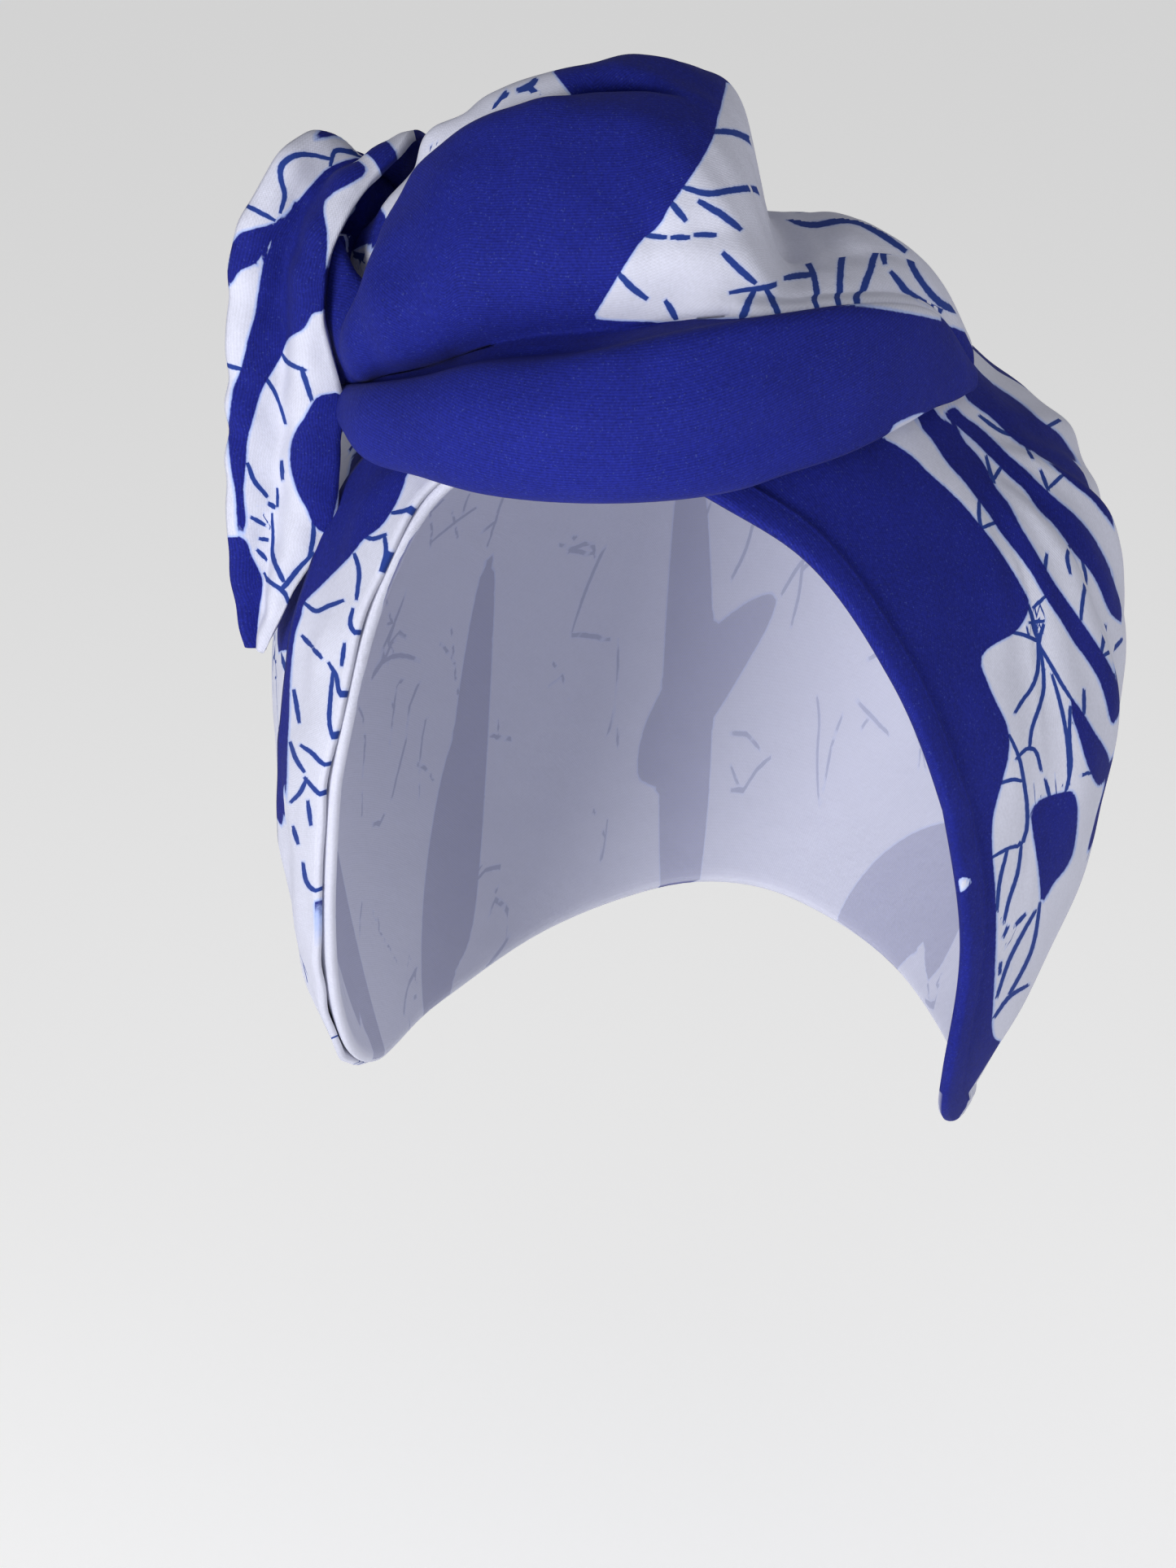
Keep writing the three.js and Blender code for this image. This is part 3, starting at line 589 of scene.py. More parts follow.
def tail_grid(along, across):
    """The tail's middle face: a pleated strip that arches over and hangs, a little crumpled."""
    places = np.linspace(0, TAIL_STEPS, along)
    row = TAIL(places)
    size = np.array([HALF_BREADTH, FRONT_DEPTH, TAIL_DROP])

    def centre(place):
        found = TAIL(np.clip(place, 0, TAIL_STEPS))
        return np.stack([found["x"], found["y"], found["z"]], axis=-1) * size

    ahead = centre(places + 0.1) - centre(places - 0.1)
    ahead /= np.linalg.norm(ahead, axis=1, keepdims=True)
    facing = np.radians(row["face"])
    side = np.stack([np.cos(facing), np.sin(facing), 0 * facing], axis=-1)
    side -= ahead * (side * ahead).sum(axis=1, keepdims=True)
    side /= np.linalg.norm(side, axis=1, keepdims=True)
    out = np.cross(side, ahead)
    share = np.linspace(-1, 1, across)[None, :, None]
    pleats = TAIL_PLEATS * np.cos(share * 3.1 * math.pi * 0.5 + 0.4)
    pleat = pleats + TAIL_BULGE * (1 - share * share)
    lean = ease(*TAIL_LEAN_STARTS, places) * (1 - ease(*TAIL_LEAN_STOPS, places))
    tail = (
        centre(places)[:, None]
        + lean[:, None, None] * ((share + 1) / 2) ** 5 * TAIL_LEAN
        + side[:, None] * share * (row["width"] * TAIL_WIDTH / 2)[:, None, None]
        + out[:, None] * pleat * (row["fold"] * TAIL_FOLD)[:, None, None]
    )
    return tail + normals_of(tail) * (TAIL_CRUMPLE * ripple(tail, TAIL_WAVE, SEEDS["tail"]))[..., None]


# The print: outlines and lines placed by named pixels of the photograph, and more of its kind where the
# photograph doesn't show the cloth. Each is measured in millimetres at every vertex.
BOW_FRONT_PALE = {
    "big loop": [
        (887, 112), (875, 159), (870, 178), (839, 231), (820, 258), (808, 279), (787, 296), (762, 333),
        (745, 360), (734, 378), (728, 386), (740, 388), (762, 390), (800, 392), (870, 398), (905, 398),
        (984, 386), (1042, 382), (1099, 386), (1149, 396), (1191, 417), (1212, 438), (1290, 430),
        (1240, 300), (1100, 200), (1000, 150), (960, 60), (892, 60),
    ],
    "edge glimpse": [
        (1088, 534), (1092, 520), (1110, 510), (1130, 503), (1138, 505), (1128, 516), (1108, 525),
        (1094, 536),
    ],
    "far edge glimpse": [
        (1152, 512), (1166, 500), (1176, 491), (1190, 483), (1186, 493), (1172, 503), (1160, 511),
    ],
}
BOW_BACK_PALE = {
    "ribbon": [
        (380, 330), (400, 240), (450, 180), (520, 120), (600, 70), (672, 60), (679, 90), (690, 105),
        (703, 134), (650, 180), (580, 240), (520, 320), (470, 390), (400, 390),
    ],
    "crest right": [
        (887, 112), (875, 159), (870, 200), (1000, 420), (1250, 440), (1240, 260), (960, 40), (892, 60),
    ],
}
BOW_BACK_BLUE = {
    "ribbon patch": [
        (412, 305), (430, 288), (452, 265), (460, 250), (470, 257), (478, 266), (470, 282), (462, 298),
        (445, 306), (432, 314), (420, 312),
    ],
}
BOW_FRONT_LINES = [
    [(873, 166), (893, 166), (915, 174), (931, 193), (942, 220)],
    [(839, 233), (870, 241), (893, 237), (923, 235), (948, 256)],
    [(858, 250), (885, 266), (904, 283)],
    [(824, 252), (839, 270)],
    [(793, 291), (816, 293)],
    [(826, 294), (843, 294)],
    [(853, 291), (875, 291)],
    [(887, 314), (905, 330), (923, 346)],
    [(896, 361), (920, 356), (946, 352)],
    [(923, 358), (918, 378), (912, 396)],
    [(938, 358), (946, 374), (954, 390)],
    [(961, 346), (996, 344)],
    [(967, 304), (988, 323), (1000, 346), (1000, 381)],
    [(1026, 289), (1034, 315), (1030, 346), (1026, 381)],
    [(1078, 296), (1069, 331), (1055, 361), (1046, 381)],
    [(1078, 296), (1084, 327)],
    [(1092, 340), (1111, 361), (1149, 382)],
    [(1111, 312), (1118, 335), (1149, 373), (1176, 388)],
    [(762, 335), (776, 350), (793, 363)],
    [(818, 369), (831, 388)],
]
BOW_BACK_LINES = [
    [(873, 166), (893, 166), (915, 174), (931, 193), (942, 220)],
    [(893, 237), (923, 235), (948, 256)],
    [(494, 216), (503, 214), (513, 211)],
    [(526, 196), (536, 188), (546, 186)],
    [(528, 192), (542, 180), (556, 178)],
    [(606, 145), (616, 132), (625, 120)],
    [(640, 116), (652, 112), (660, 104)],
    [(652, 112), (664, 122)],
    [(434, 312), (455, 317), (478, 310)],
    [(450, 320), (455, 335), (460, 346)],
    [(460, 299), (466, 306), (482, 300)],
    [(971, 275), (996, 283), (1046, 277), (1076, 291), (1107, 312)],
]
KNOT_PALE = {
    "fold": [
        (392, 298), (397, 278), (408, 263), (420, 250), (432, 245), (437, 255), (426, 270), (410, 284),
    ],
}
CAP_BLUE = {
    "behind the tail": [
        (350, 420), (470, 420), (500, 560), (500, 640), (400, 760), (340, 800), (320, 600),
    ],
    "front panel": [
        (1080, 537), (1120, 560), (1140, 580), (1165, 602), (1185, 622), (1200, 640), (1220, 665),
        (1240, 695), (1255, 720), (1265, 742), (1262, 755), (1252, 772), (1240, 782), (1225, 790),
        (1210, 801), (1205, 812), (1212, 835), (1225, 865), (1235, 885), (1240, 905), (1239, 930),
        (1233, 955), (1226, 980), (1220, 1005), (1219, 1040), (1222, 1080), (1224, 1120), (1223, 1180),
        (1220, 1240), (1219, 1265), (1223, 1277), (1240, 1282), (1300, 1290), (1260, 1440),
        (1100, 1500), (1080, 1000), (960, 700), (780, 560), (820, 470),
    ],
    "stripe a": [
        (1130, 520), (1145, 540), (1165, 570), (1185, 592), (1200, 612), (1215, 632), (1230, 655),
        (1250, 680), (1268, 705), (1285, 735), (1305, 765), (1320, 790), (1335, 810), (1350, 835),
        (1358, 858), (1367, 890), (1374, 880), (1377, 860), (1373, 840), (1365, 820), (1352, 798),
        (1340, 780), (1325, 758), (1310, 737), (1295, 715), (1280, 690), (1265, 665), (1253, 645),
        (1240, 620), (1222, 597), (1212, 575), (1200, 558), (1185, 542), (1175, 525), (1155, 513),
        (1140, 490),
    ],
    "stripe b": [
        (1160, 507), (1180, 527), (1200, 545), (1215, 560), (1240, 585), (1260, 603), (1275, 625),
        (1295, 645), (1310, 665), (1320, 680), (1338, 700), (1350, 720), (1360, 745), (1368, 758),
        (1385, 768), (1380, 750), (1372, 720), (1362, 695), (1352, 675), (1340, 655), (1320, 632),
        (1300, 615), (1280, 597), (1260, 577), (1240, 560), (1220, 540), (1200, 522), (1185, 512),
        (1172, 500),
    ],
    "stripe c": [
        (1187, 488), (1200, 500), (1220, 515), (1240, 535), (1255, 547), (1270, 555), (1290, 570),
        (1305, 583), (1322, 598), (1340, 612), (1355, 630), (1372, 652), (1364, 630), (1352, 605),
        (1340, 585), (1320, 560), (1300, 532), (1280, 518), (1260, 500), (1232, 480), (1203, 464),
        (1190, 470),
    ],
    "taper": [
        (1316, 858), (1330, 875), (1345, 900), (1358, 920), (1364, 938), (1358, 960), (1350, 966),
        (1341, 952), (1333, 930), (1325, 902), (1317, 878),
    ],
    "oval": [
        (1266, 1000), (1275, 985), (1300, 975), (1318, 973), (1324, 990), (1323, 1020), (1318, 1050),
        (1308, 1070), (1295, 1085), (1280, 1110), (1278, 1090), (1275, 1060), (1270, 1030),
    ],
}
CAP_PALE = {
    "chip": [(1177, 1080), (1195, 1081), (1180, 1097)],
    "sliver": [(418, 545), (431, 556), (428, 585), (415, 625), (404, 640), (402, 612), (408, 575)],
}
CAP_LINES = [
    [(1275, 780), (1276, 800), (1275, 825), (1268, 845), (1257, 860), (1248, 875)],
    [(1278, 795), (1282, 825), (1282, 850), (1275, 875), (1268, 895), (1265, 920)],
    [(1250, 932), (1262, 920), (1272, 922), (1279, 946)],
    [(1278, 795), (1290, 815), (1303, 838), (1318, 862)],
    [(1293, 830), (1303, 865), (1310, 900), (1313, 930), (1313, 962)],
    [(1315, 870), (1314, 905), (1316, 940), (1310, 972)],
    [(1240, 776), (1260, 781), (1275, 788)],
    [(1264, 744), (1270, 765), (1275, 787)],
    [(1282, 768), (1276, 790)],
    [(1271, 746), (1283, 734)],
    [(1267, 765), (1281, 763)],
    [(1203, 613), (1203, 635), (1206, 650)],
    [(1206, 649), (1223, 642)],
    [(1212, 562), (1217, 582), (1221, 592)],
    [(1231, 572), (1220, 591)],
    [(1286, 682), (1283, 706)],
    [(1314, 671), (1311, 685), (1315, 704)],
    [(1330, 690), (1334, 710), (1330, 740), (1328, 762)],
    [(1205, 512), (1228, 529), (1246, 536)],
    [(1261, 549), (1268, 562)],
    [(1279, 579), (1288, 602)],
    [(1306, 583), (1290, 599)],
    [(1284, 526), (1306, 514)],
    [(1358, 770), (1354, 800)],
    [(1354, 807), (1368, 798), (1378, 786)],
    [(1367, 833), (1380, 820)],
    [(1332, 849), (1332, 876)],
    [(1331, 953), (1345, 947)],
    [(1285, 959), (1291, 986)],
    [(1229, 963), (1245, 958), (1256, 960)],
    [
        (1241, 905), (1252, 930), (1258, 960), (1262, 990), (1262, 1015), (1255, 1038), (1240, 1042),
        (1221, 1053),
    ],
    [(1255, 1040), (1250, 1075), (1240, 1105), (1234, 1132)],
    [(1238, 1044), (1228, 1085), (1225, 1120)],
    [(1249, 1136), (1259, 1124)],
    [(1238, 1139), (1233, 1151)],
    [(1230, 1184), (1228, 1196)],
    [(1272, 1120), (1255, 1150), (1240, 1180), (1225, 1225)],
    [(1278, 1110), (1270, 1160), (1258, 1190), (1240, 1222)],
    [(1222, 1250), (1240, 1225), (1262, 1211)],
    [(341, 798), (339, 820)],
    [(343, 800), (355, 832)],
]
BAND_BLUE = {
    "top": [
        (503, 583), (497, 605), (485, 630), (470, 650), (450, 665), (440, 678), (430, 690), (415, 705),
        (395, 725), (378, 742), (375, 755), (368, 775), (364, 800), (361, 840), (360, 880), (358, 920),
        (357, 960), (353, 1000), (349, 1015), (320, 1010), (320, 700), (400, 560), (440, 520),
        (505, 560),
    ],
    "low": [(391, 1108), (404, 1102), (412, 1170), (398, 1175), (393, 1140)],
}
BAND_LINES = [
    [(487, 632), (500, 630), (513, 624)],
    [(452, 661), (462, 664), (476, 659)],
    [(476, 660), (478, 680), (472, 701)],
    [(440, 684), (445, 702), (442, 736)],
    [(437, 751), (434, 768), (440, 778), (450, 783)],
    [(380, 743), (393, 752), (408, 746), (424, 740)],
    [(377, 783), (387, 794)],
    [(391, 799), (398, 807)],
    [(427, 792), (424, 816)],
    [(409, 816), (417, 830), (421, 850), (428, 861)],
    [(413, 828), (410, 860), (409, 890), (414, 909)],
    [(366, 850), (372, 886)],
    [(376, 917), (388, 925), (397, 935), (410, 943)],
    [(362, 914), (368, 932), (377, 946)],
    [(380, 956), (390, 968), (400, 976), (409, 973)],
    [(380, 957), (374, 972), (363, 984)],
    [(383, 985), (386, 1011)],
    [(365, 1017), (370, 1034)],
    [(377, 1061), (380, 1080), (386, 1090), (393, 1094)],
]
TAIL_BLUE = {
    "arch": [
        (385, 175), (395, 166), (418, 160), (440, 165), (460, 168), (475, 178), (490, 194), (505, 202),
        (479, 232), (468, 212), (455, 195), (440, 184), (425, 177), (405, 172),
    ],
    "patch": [
        (298, 288), (310, 282), (330, 275), (345, 265), (360, 247), (350, 265), (340, 279), (332, 293),
        (322, 310), (315, 322), (305, 328), (297, 332), (290, 345), (280, 357), (286, 325), (290, 300),
    ],
    "inner pleat": [
        (440, 200), (420, 202), (400, 210), (382, 228), (365, 247), (350, 264), (341, 281), (332, 297),
        (325, 315), (320, 335), (316, 360), (311, 390), (305, 412), (300, 440), (296, 460), (290, 480),
        (286, 520), (286, 560), (292, 600), (296, 655), (302, 640), (300, 600), (302, 565), (304, 545),
        (308, 520), (313, 500), (322, 475), (330, 460), (340, 445), (352, 430), (362, 415), (378, 400),
        (386, 384), (400, 380), (402, 300), (404, 250), (450, 212),
    ],
    "outer low": [
        (276, 663), (298, 658), (303, 665), (308, 680), (318, 700), (322, 715), (318, 745), (315, 770),
        (315, 800), (300, 790), (285, 762), (278, 725), (276, 690),
    ],
    "oval": [
        (392, 485), (378, 508), (368, 530), (362, 555), (363, 580), (370, 605), (380, 625), (388, 646),
        (402, 652), (412, 620), (420, 580), (432, 545), (436, 510), (412, 480),
    ],
}
TAIL_LINES = [
    [(402, 197), (380, 192), (362, 194), (348, 205), (345, 220), (348, 240), (343, 259)],
    [(305, 255), (320, 262), (334, 269)],
    [(440, 197), (425, 190), (408, 188), (404, 204)],
    [(286, 447), (298, 452)],
    [(349, 432), (360, 445), (376, 453)],
    [(327, 466), (342, 487), (352, 505), (356, 518)],
    [(374, 452), (379, 470), (384, 490)],
    [(304, 569), (312, 590), (326, 608)],
    [(352, 569), (353, 586)],
    [(343, 601), (345, 621)],
    [(331, 618), (339, 622)],
    [(310, 634), (323, 641)],
    [(320, 660), (329, 662)],
    [(317, 675), (328, 685)],
    [(336, 631), (339, 655), (340, 680), (350, 710)],
    [(326, 704), (337, 715), (348, 722), (356, 737), (366, 756)],
    [(348, 722), (358, 708), (368, 695), (384, 678)],
    [(386, 640), (384, 660), (380, 682)],
]

# The drawn lines: half widths in millimetres, the share that is left of them at their tips, how far
# from its middle a line can show, how far from it its fields are worked out, and the names of the line
# sets.
BOW_LINE = 0.6
CAP_LINE = 0.38
BAND_LINE = 0.44
TAIL_LINE = 0.44
LINE_TIP = 0.7
LINE_REACH = 1.1
LINE_ROOM = 5
LINE_SETS = ("a", "b", "c")
# The steps that round an outline or a line between two of its points.
ROUND_STEPS = 4
# The fields that the print keeps at each vertex: the patch, and the offset and the way past for each
# line set.
FIELDS = ["patch"] + [f"{field}_{letter}" for letter in LINE_SETS for field in ("offset", "past")]

# The fields where nothing is near: far from any outline, with no line, and all blue or all pale cloth.
# Then the widest value that a field keeps.
FAR = 1e9
NO_LINE = 9.0
ALL_BLUE = -20
ALL_PALE = 20
FIELD_LIMIT = 30

# The scattered print, in millimetres: the gaps between patches and between stems, a patch's half length
# and half width, a stem's step and a twig's length. Then the share of stems that have a twig.
PATCH_GAP = 60
STEM_GAP = 17
PATCH_LONG = (22, 48)
PATCH_WIDE = (5, 11)
STEM_STEP = (3.5, 6.5)
TWIG_LONG = (3, 7)
TWIG_SHARE = 0.6

# The print runs on from this many nearest seen points, and fades to scattered print over this many
# millimetres. A patch keeps at most this value where it runs on. Scattered lines are held off by this
# much, which fades between these two distances from what is seen.
CARRIED_FROM = 6
FADE = 16
CARRIED_LIMIT = 9
HOLD_OFF = 6
HOLD_OFF_FADE = (3, 7)

# What the camera sees is worked out in cells of this many pixels, with at least this many spare cells
# at each edge. A point is seen that faces the camera by more than this share, and that lies less than
# this far behind the nearest point, with this much more room where the cloth slopes away.
CELL = 9
SPARE_CELLS = 20
SEEN_FACING = 0.16
SEEN_SLACK = 3
SLOPE_SLACK = 2.5

# The hem's blue shows on this many of the lining's last rows, round this turn, and this many degrees to
# each side of it.
HEM_TURNED_IN = 5
HEM_BLUE_TURN = 45
HEM_BLUE_HALF = 52
# The middle of the cap, and the bow's columns that lie in front.
CAP_MIDDLE = np.array([0, 0, -60])
BOW_FRONT_COLUMNS = slice(20, 70)


def project(points):
    """Photograph pixels and depth of points."""
    seen = points - VIEWPOINT
    depth = -(seen @ BACKWARD)
    across = PHOTO_WIDE / 2 + PHOTO_FOCUS * (seen @ RIGHTWARD) / depth
    down = PHOTO_HIGH / 2 - PHOTO_FOCUS * (seen @ UPWARD) / depth
    return np.stack([across, down], axis=-1), depth


def rounded(outline, closed):
    """An outline or a line with smooth steps between its points."""
    points = np.array(outline, float)
    if not closed:
        return through(points, [ROUND_STEPS] * (len(points) - 1))
    ring = np.vstack([points[-2:], points, points[:2]])
    line = through(ring, [ROUND_STEPS] * (len(ring) - 1))
    return line[2 * ROUND_STEPS:-2 * ROUND_STEPS]


def patch_depth(spots, outline):
    """Distance inside a closed outline, negative outside it."""
    nearest = np.full(len(spots), FAR)
    inside = np.zeros(len(spots), bool)
    for a, b in zip(outline, np.roll(outline, -1, axis=0)):
        nearest = np.minimum(nearest, step_distance(spots, a, b))
        crosses = (a[1] > spots[:, 1]) != (b[1] > spots[:, 1])
        if crosses.any():
            slope = (b[0] - a[0]) / (b[1] - a[1])
            inside ^= crosses & (spots[:, 0] < a[0] + slope * (spots[:, 1] - a[1]))
    return np.where(inside, nearest, -nearest)


def line_fields(spots, lines, half):
    """For the nearest drawn line, the offset from its middle in half widths, and how far past its ends."""
    offset = np.full(len(spots), NO_LINE)
    past = np.full(len(spots), NO_LINE)
    nearest = np.full(len(spots), FAR)
    for line in lines:
        count = len(line) - 1
        around = (spots > line.min(axis=0) - LINE_ROOM) & (spots < line.max(axis=0) + LINE_ROOM)
        around = np.flatnonzero(around.all(axis=1))
        for k in range(count):
            a, span = line[k], line[k + 1] - line[k]
            length = max(float(np.linalg.norm(span)), 1e-6)
            from_a = spots[around] - a
            along = from_a @ span / length**2
            held = np.clip(along, 0, 1)
            away = np.linalg.norm(from_a - held[:, None] * span, axis=1)
            side = (from_a[:, 0] * span[1] - from_a[:, 1] * span[0]) / length
            before = -along if k == 0 else np.full(len(around), -1.0)
            after = along - 1 if k == count - 1 else np.full(len(around), -1.0)
            beyond = np.maximum(np.maximum(before, after), 0) * length
            width = half * (LINE_TIP + (1 - LINE_TIP) * np.sin(math.pi * (k + held) / count) ** 0.4)
            across = np.where(beyond > 0, side, np.sign(side) * away)
            closer = away < nearest[around]
            spot = around[closer]
            nearest[spot] = away[closer]
            offset[spot] = (across / width)[closer]
            past[spot] = np.maximum(beyond, away - LINE_REACH)[closer]
    return offset, past


def line_gap(line, others):
    """The smallest distance of a line from others."""
    return min((np.linalg.norm(line[:, None] - other, axis=2).min() for other in others), default=FAR)


def line_sets(lines):
    """The lines in sets, with near ones in different sets, so that each keeps a crisp edge."""
    sets = [[] for _ in LINE_SETS]
    for line in lines:
        room = [line_gap(line, held) for held in sets]
        sets[int(np.argmax(room))].append(line)
    return sets


def dye_fields(spots, start, pale, blue, lines, half, ratio=1):
    """The fields of outlines and lines: the patch, and the offset and the way past for each line set."""
    spots = spots / ratio
    patch = np.full(len(spots), float(start))
    for outline in pale.values():
        patch = np.maximum(patch, patch_depth(spots, rounded(outline, True) / ratio))
    for outline in blue.values():
        patch = np.minimum(patch, -patch_depth(spots, rounded(outline, True) / ratio))
    fields = [patch]
    for held in line_sets([rounded(line, False) / ratio for line in lines]):
        fields.extend(line_fields(spots, held, half))
    return fields


def photo_fields(points, start, pale, blue, lines, half):
    """The fields at points of the part, from outlines and lines in photograph pixels."""
    return dye_fields(project(points)[0], start, pale, blue, lines, half, PIXELS_PER_MM)


def scattered(low, high, seed):
    """Outlines and lines of the print's kind, spread evenly over a flat area of cloth, in millimetres."""
    rng = np.random.default_rng(seed)
    area = float(np.prod(high - low))
    blue, lines = {}, []
    for k in range(int(area / PATCH_GAP**2)):
        middle = rng.uniform(low, high)
        heading = rng.normal(1.1, 0.35)
        along = np.array([math.cos(heading), math.sin(heading)])
        across = np.array([-along[1], along[0]])
        long, wide = rng.uniform(*PATCH_LONG), rng.uniform(*PATCH_WIDE)
        blue[k] = [
            middle + along * long * math.cos(t) + across * wide * math.sin(t) * (1 - 0.4 * math.cos(t))
            for t in np.linspace(0, 2 * math.pi, 12, endpoint=False)
        ]
    for _ in range(int(area / STEM_GAP**2)):
        spot = rng.uniform(low, high)
        heading = rng.uniform(0, 2 * math.pi)
        stem = [spot]
        for _ in range(rng.integers(2, 5)):
            heading += rng.normal(0, 0.35)
            spot = spot + rng.uniform(*STEM_STEP) * np.array([math.cos(heading), math.sin(heading)])
            stem.append(spot)
        lines.append(stem)
        if rng.random() < TWIG_SHARE:
            root = stem[len(stem) // 2]
            turned = heading + rng.choice([-1, 1]) * rng.uniform(0.6, 1.1)
            twig = np.array([math.cos(turned), math.sin(turned)])
            lines.append([root, root + twig * rng.uniform(*TWIG_LONG)])
    return blue, lines


# The nearest depth of all pieces in a coarse grid of pixels.
near_depth = np.full((PHOTO_HIGH // CELL + 3 * SPARE_CELLS, PHOTO_WIDE // CELL + 3 * SPARE_CELLS), FAR)


def cells(points):
    """The coarse cell of each point, and its depth."""
    pixels, depth = project(points.reshape(-1, 3))
    column, row = (
        np.clip(pixels[:, k] // CELL + SPARE_CELLS, 0, near_depth.shape[1 - k] - 1).astype(int)
        for k in (0, 1)
    )
    return row, column, depth


def shade_behind(points):
    """Adds a piece's points to the nearest depths."""
    row, column, depth = cells(points)
    np.minimum.at(near_depth, (row, column), depth)


def in_view(points, normals):
    """True where the camera sees a point from its outer side."""
    row, column, depth = cells(points)
    facing = ((VIEWPOINT - points) * normals).sum(axis=-1).reshape(-1)
    facing /= np.linalg.norm(VIEWPOINT - points, axis=-1).reshape(-1)
    slack = SEEN_SLACK + SLOPE_SLACK / np.clip(facing, 0.25, 1)
    return (depth < near_depth[row, column] + slack) & (facing > SEEN_FACING)


def spread_print(points, flat, seen, fields):
    """Where the cloth isn't seen, the print runs on from what is seen and fades to scattered print."""
    fields = [field.copy() for field in fields]
    hidden = ~seen
    if not hidden.any():
        return fields
    blue, lines = scattered(flat.min(axis=0) - 5, flat.max(axis=0) + 5, SEEDS["print"])
    more = dye_fields(flat[hidden], ALL_PALE, {}, blue, lines, CAP_LINE)
    away = np.full(int(hidden.sum()), 99.0)
    carried = np.full(int(hidden.sum()), 5.0)
    if seen.any():
        edge = np.flatnonzero(seen)
        tree = kdtree.KDTree(len(edge))
        for k in edge:
            tree.insert(points[k], int(k))
        tree.balance()
        for n, k in enumerate(np.flatnonzero(hidden)):
            found = tree.find_n(points[k], CARRIED_FROM)
            away[n] = found[0][2]
            carried[n] = np.mean([fields[0][nearest] for _, nearest, _ in found])
    carried = np.clip(carried, -CARRIED_LIMIT, CARRIED_LIMIT)
    patch = np.clip(more[0], -CARRIED_LIMIT, CARRIED_LIMIT)
    fields[0][hidden] = mix(carried, patch, ease(1, FADE, away))
    hold_off = HOLD_OFF * (1 - ease(*HOLD_OFF_FADE, away))
    for k in range(1, len(fields), 2):
        fields[k][hidden] = more[k]
        fields[k + 1][hidden] = np.maximum(more[k + 1], hold_off)
    return fields


def cloth_object(name, points, flat, fields, reverse=None):
    """A sheet of cloth: a grid whose vertices move to the points, with its flat map and its dye fields."""
    rows, columns = points.shape[:2]
    work = bmesh.new()
    bmesh.ops.create_grid(work, x_segments=columns - 1, y_segments=rows - 1, size=1)
    cloth = bpy.data.meshes.new(name)
    work.to_mesh(cloth)
    work.free()
    cloth.vertices.foreach_set("co", (points.reshape(-1, 3) * MM).astype(np.float32).ravel())
    labels = list(zip(FIELDS, fields))
    if reverse is not None:
        labels.append(("reverse", np.broadcast_to(reverse, rows * columns)))
    write_fields(cloth, labels)
    corner = np.empty(len(cloth.loops), np.int32)
    cloth.loops.foreach_get("vertex_index", corner)
    chart = cloth.uv_layers.new(name="cloth")
    chart.data.foreach_set("uv", (flat.reshape(-1, 2)[corner] * MM).astype(np.float32).ravel())
    cloth.polygons.foreach_set("use_smooth", np.ones(len(cloth.polygons), bool))
    cloth.update()
    return add_piece(name, cloth)


def write_fields(cloth, labels):
    """Writes named fields on a mesh's vertices."""
    for label, field in labels:
        layer = cloth.attributes.new(label, "FLOAT", "POINT")
        layer.data.foreach_set("value", np.clip(field, -FIELD_LIMIT, FIELD_LIMIT).astype(np.float32))


def add_piece(name, cloth):
    """A mesh as an object at the origin."""
    piece = bpy.data.objects.new(name, cloth)
    bpy.context.scene.collection.objects.link(piece)
    return piece


def tidy_cloth(piece):
    """Merges doubled vertices and points the mesh's normals outward."""
    work = bmesh.new()
    work.from_mesh(piece.data)
    bmesh.ops.remove_doubles(work, verts=work.verts, dist=0.02 * MM)
    bmesh.ops.recalc_face_normals(work, faces=work.faces)
    work.to_mesh(piece.data)
    work.free()


def give_wall(piece, wall):
    """A Solidify modifier, half the wall each way."""
    wall_maker = piece.modifiers.new("wall", "SOLIDIFY")
    wall_maker.thickness = wall * MM
    wall_maker.offset = 0
    wall_maker.use_even_offset = False


def running_length(grid, axis):
    """The length of a grid's lines up to each point, along one of its two axes."""
    start = np.zeros_like(np.take(grid, [0], axis)[..., 0])
    gaps = np.linalg.norm(np.diff(grid, axis=axis), axis=2)
    return np.cumsum(np.concatenate([start, gaps], axis=axis), axis=axis)


def lengths_map(grid):
    """A flat map of a grid: running lengths along and across it, in millimetres."""
    along = running_length(grid, 0).mean(axis=1, keepdims=True)
    return np.stack([np.broadcast_to(along, grid.shape[:2]), running_length(grid, 1)], axis=-1)


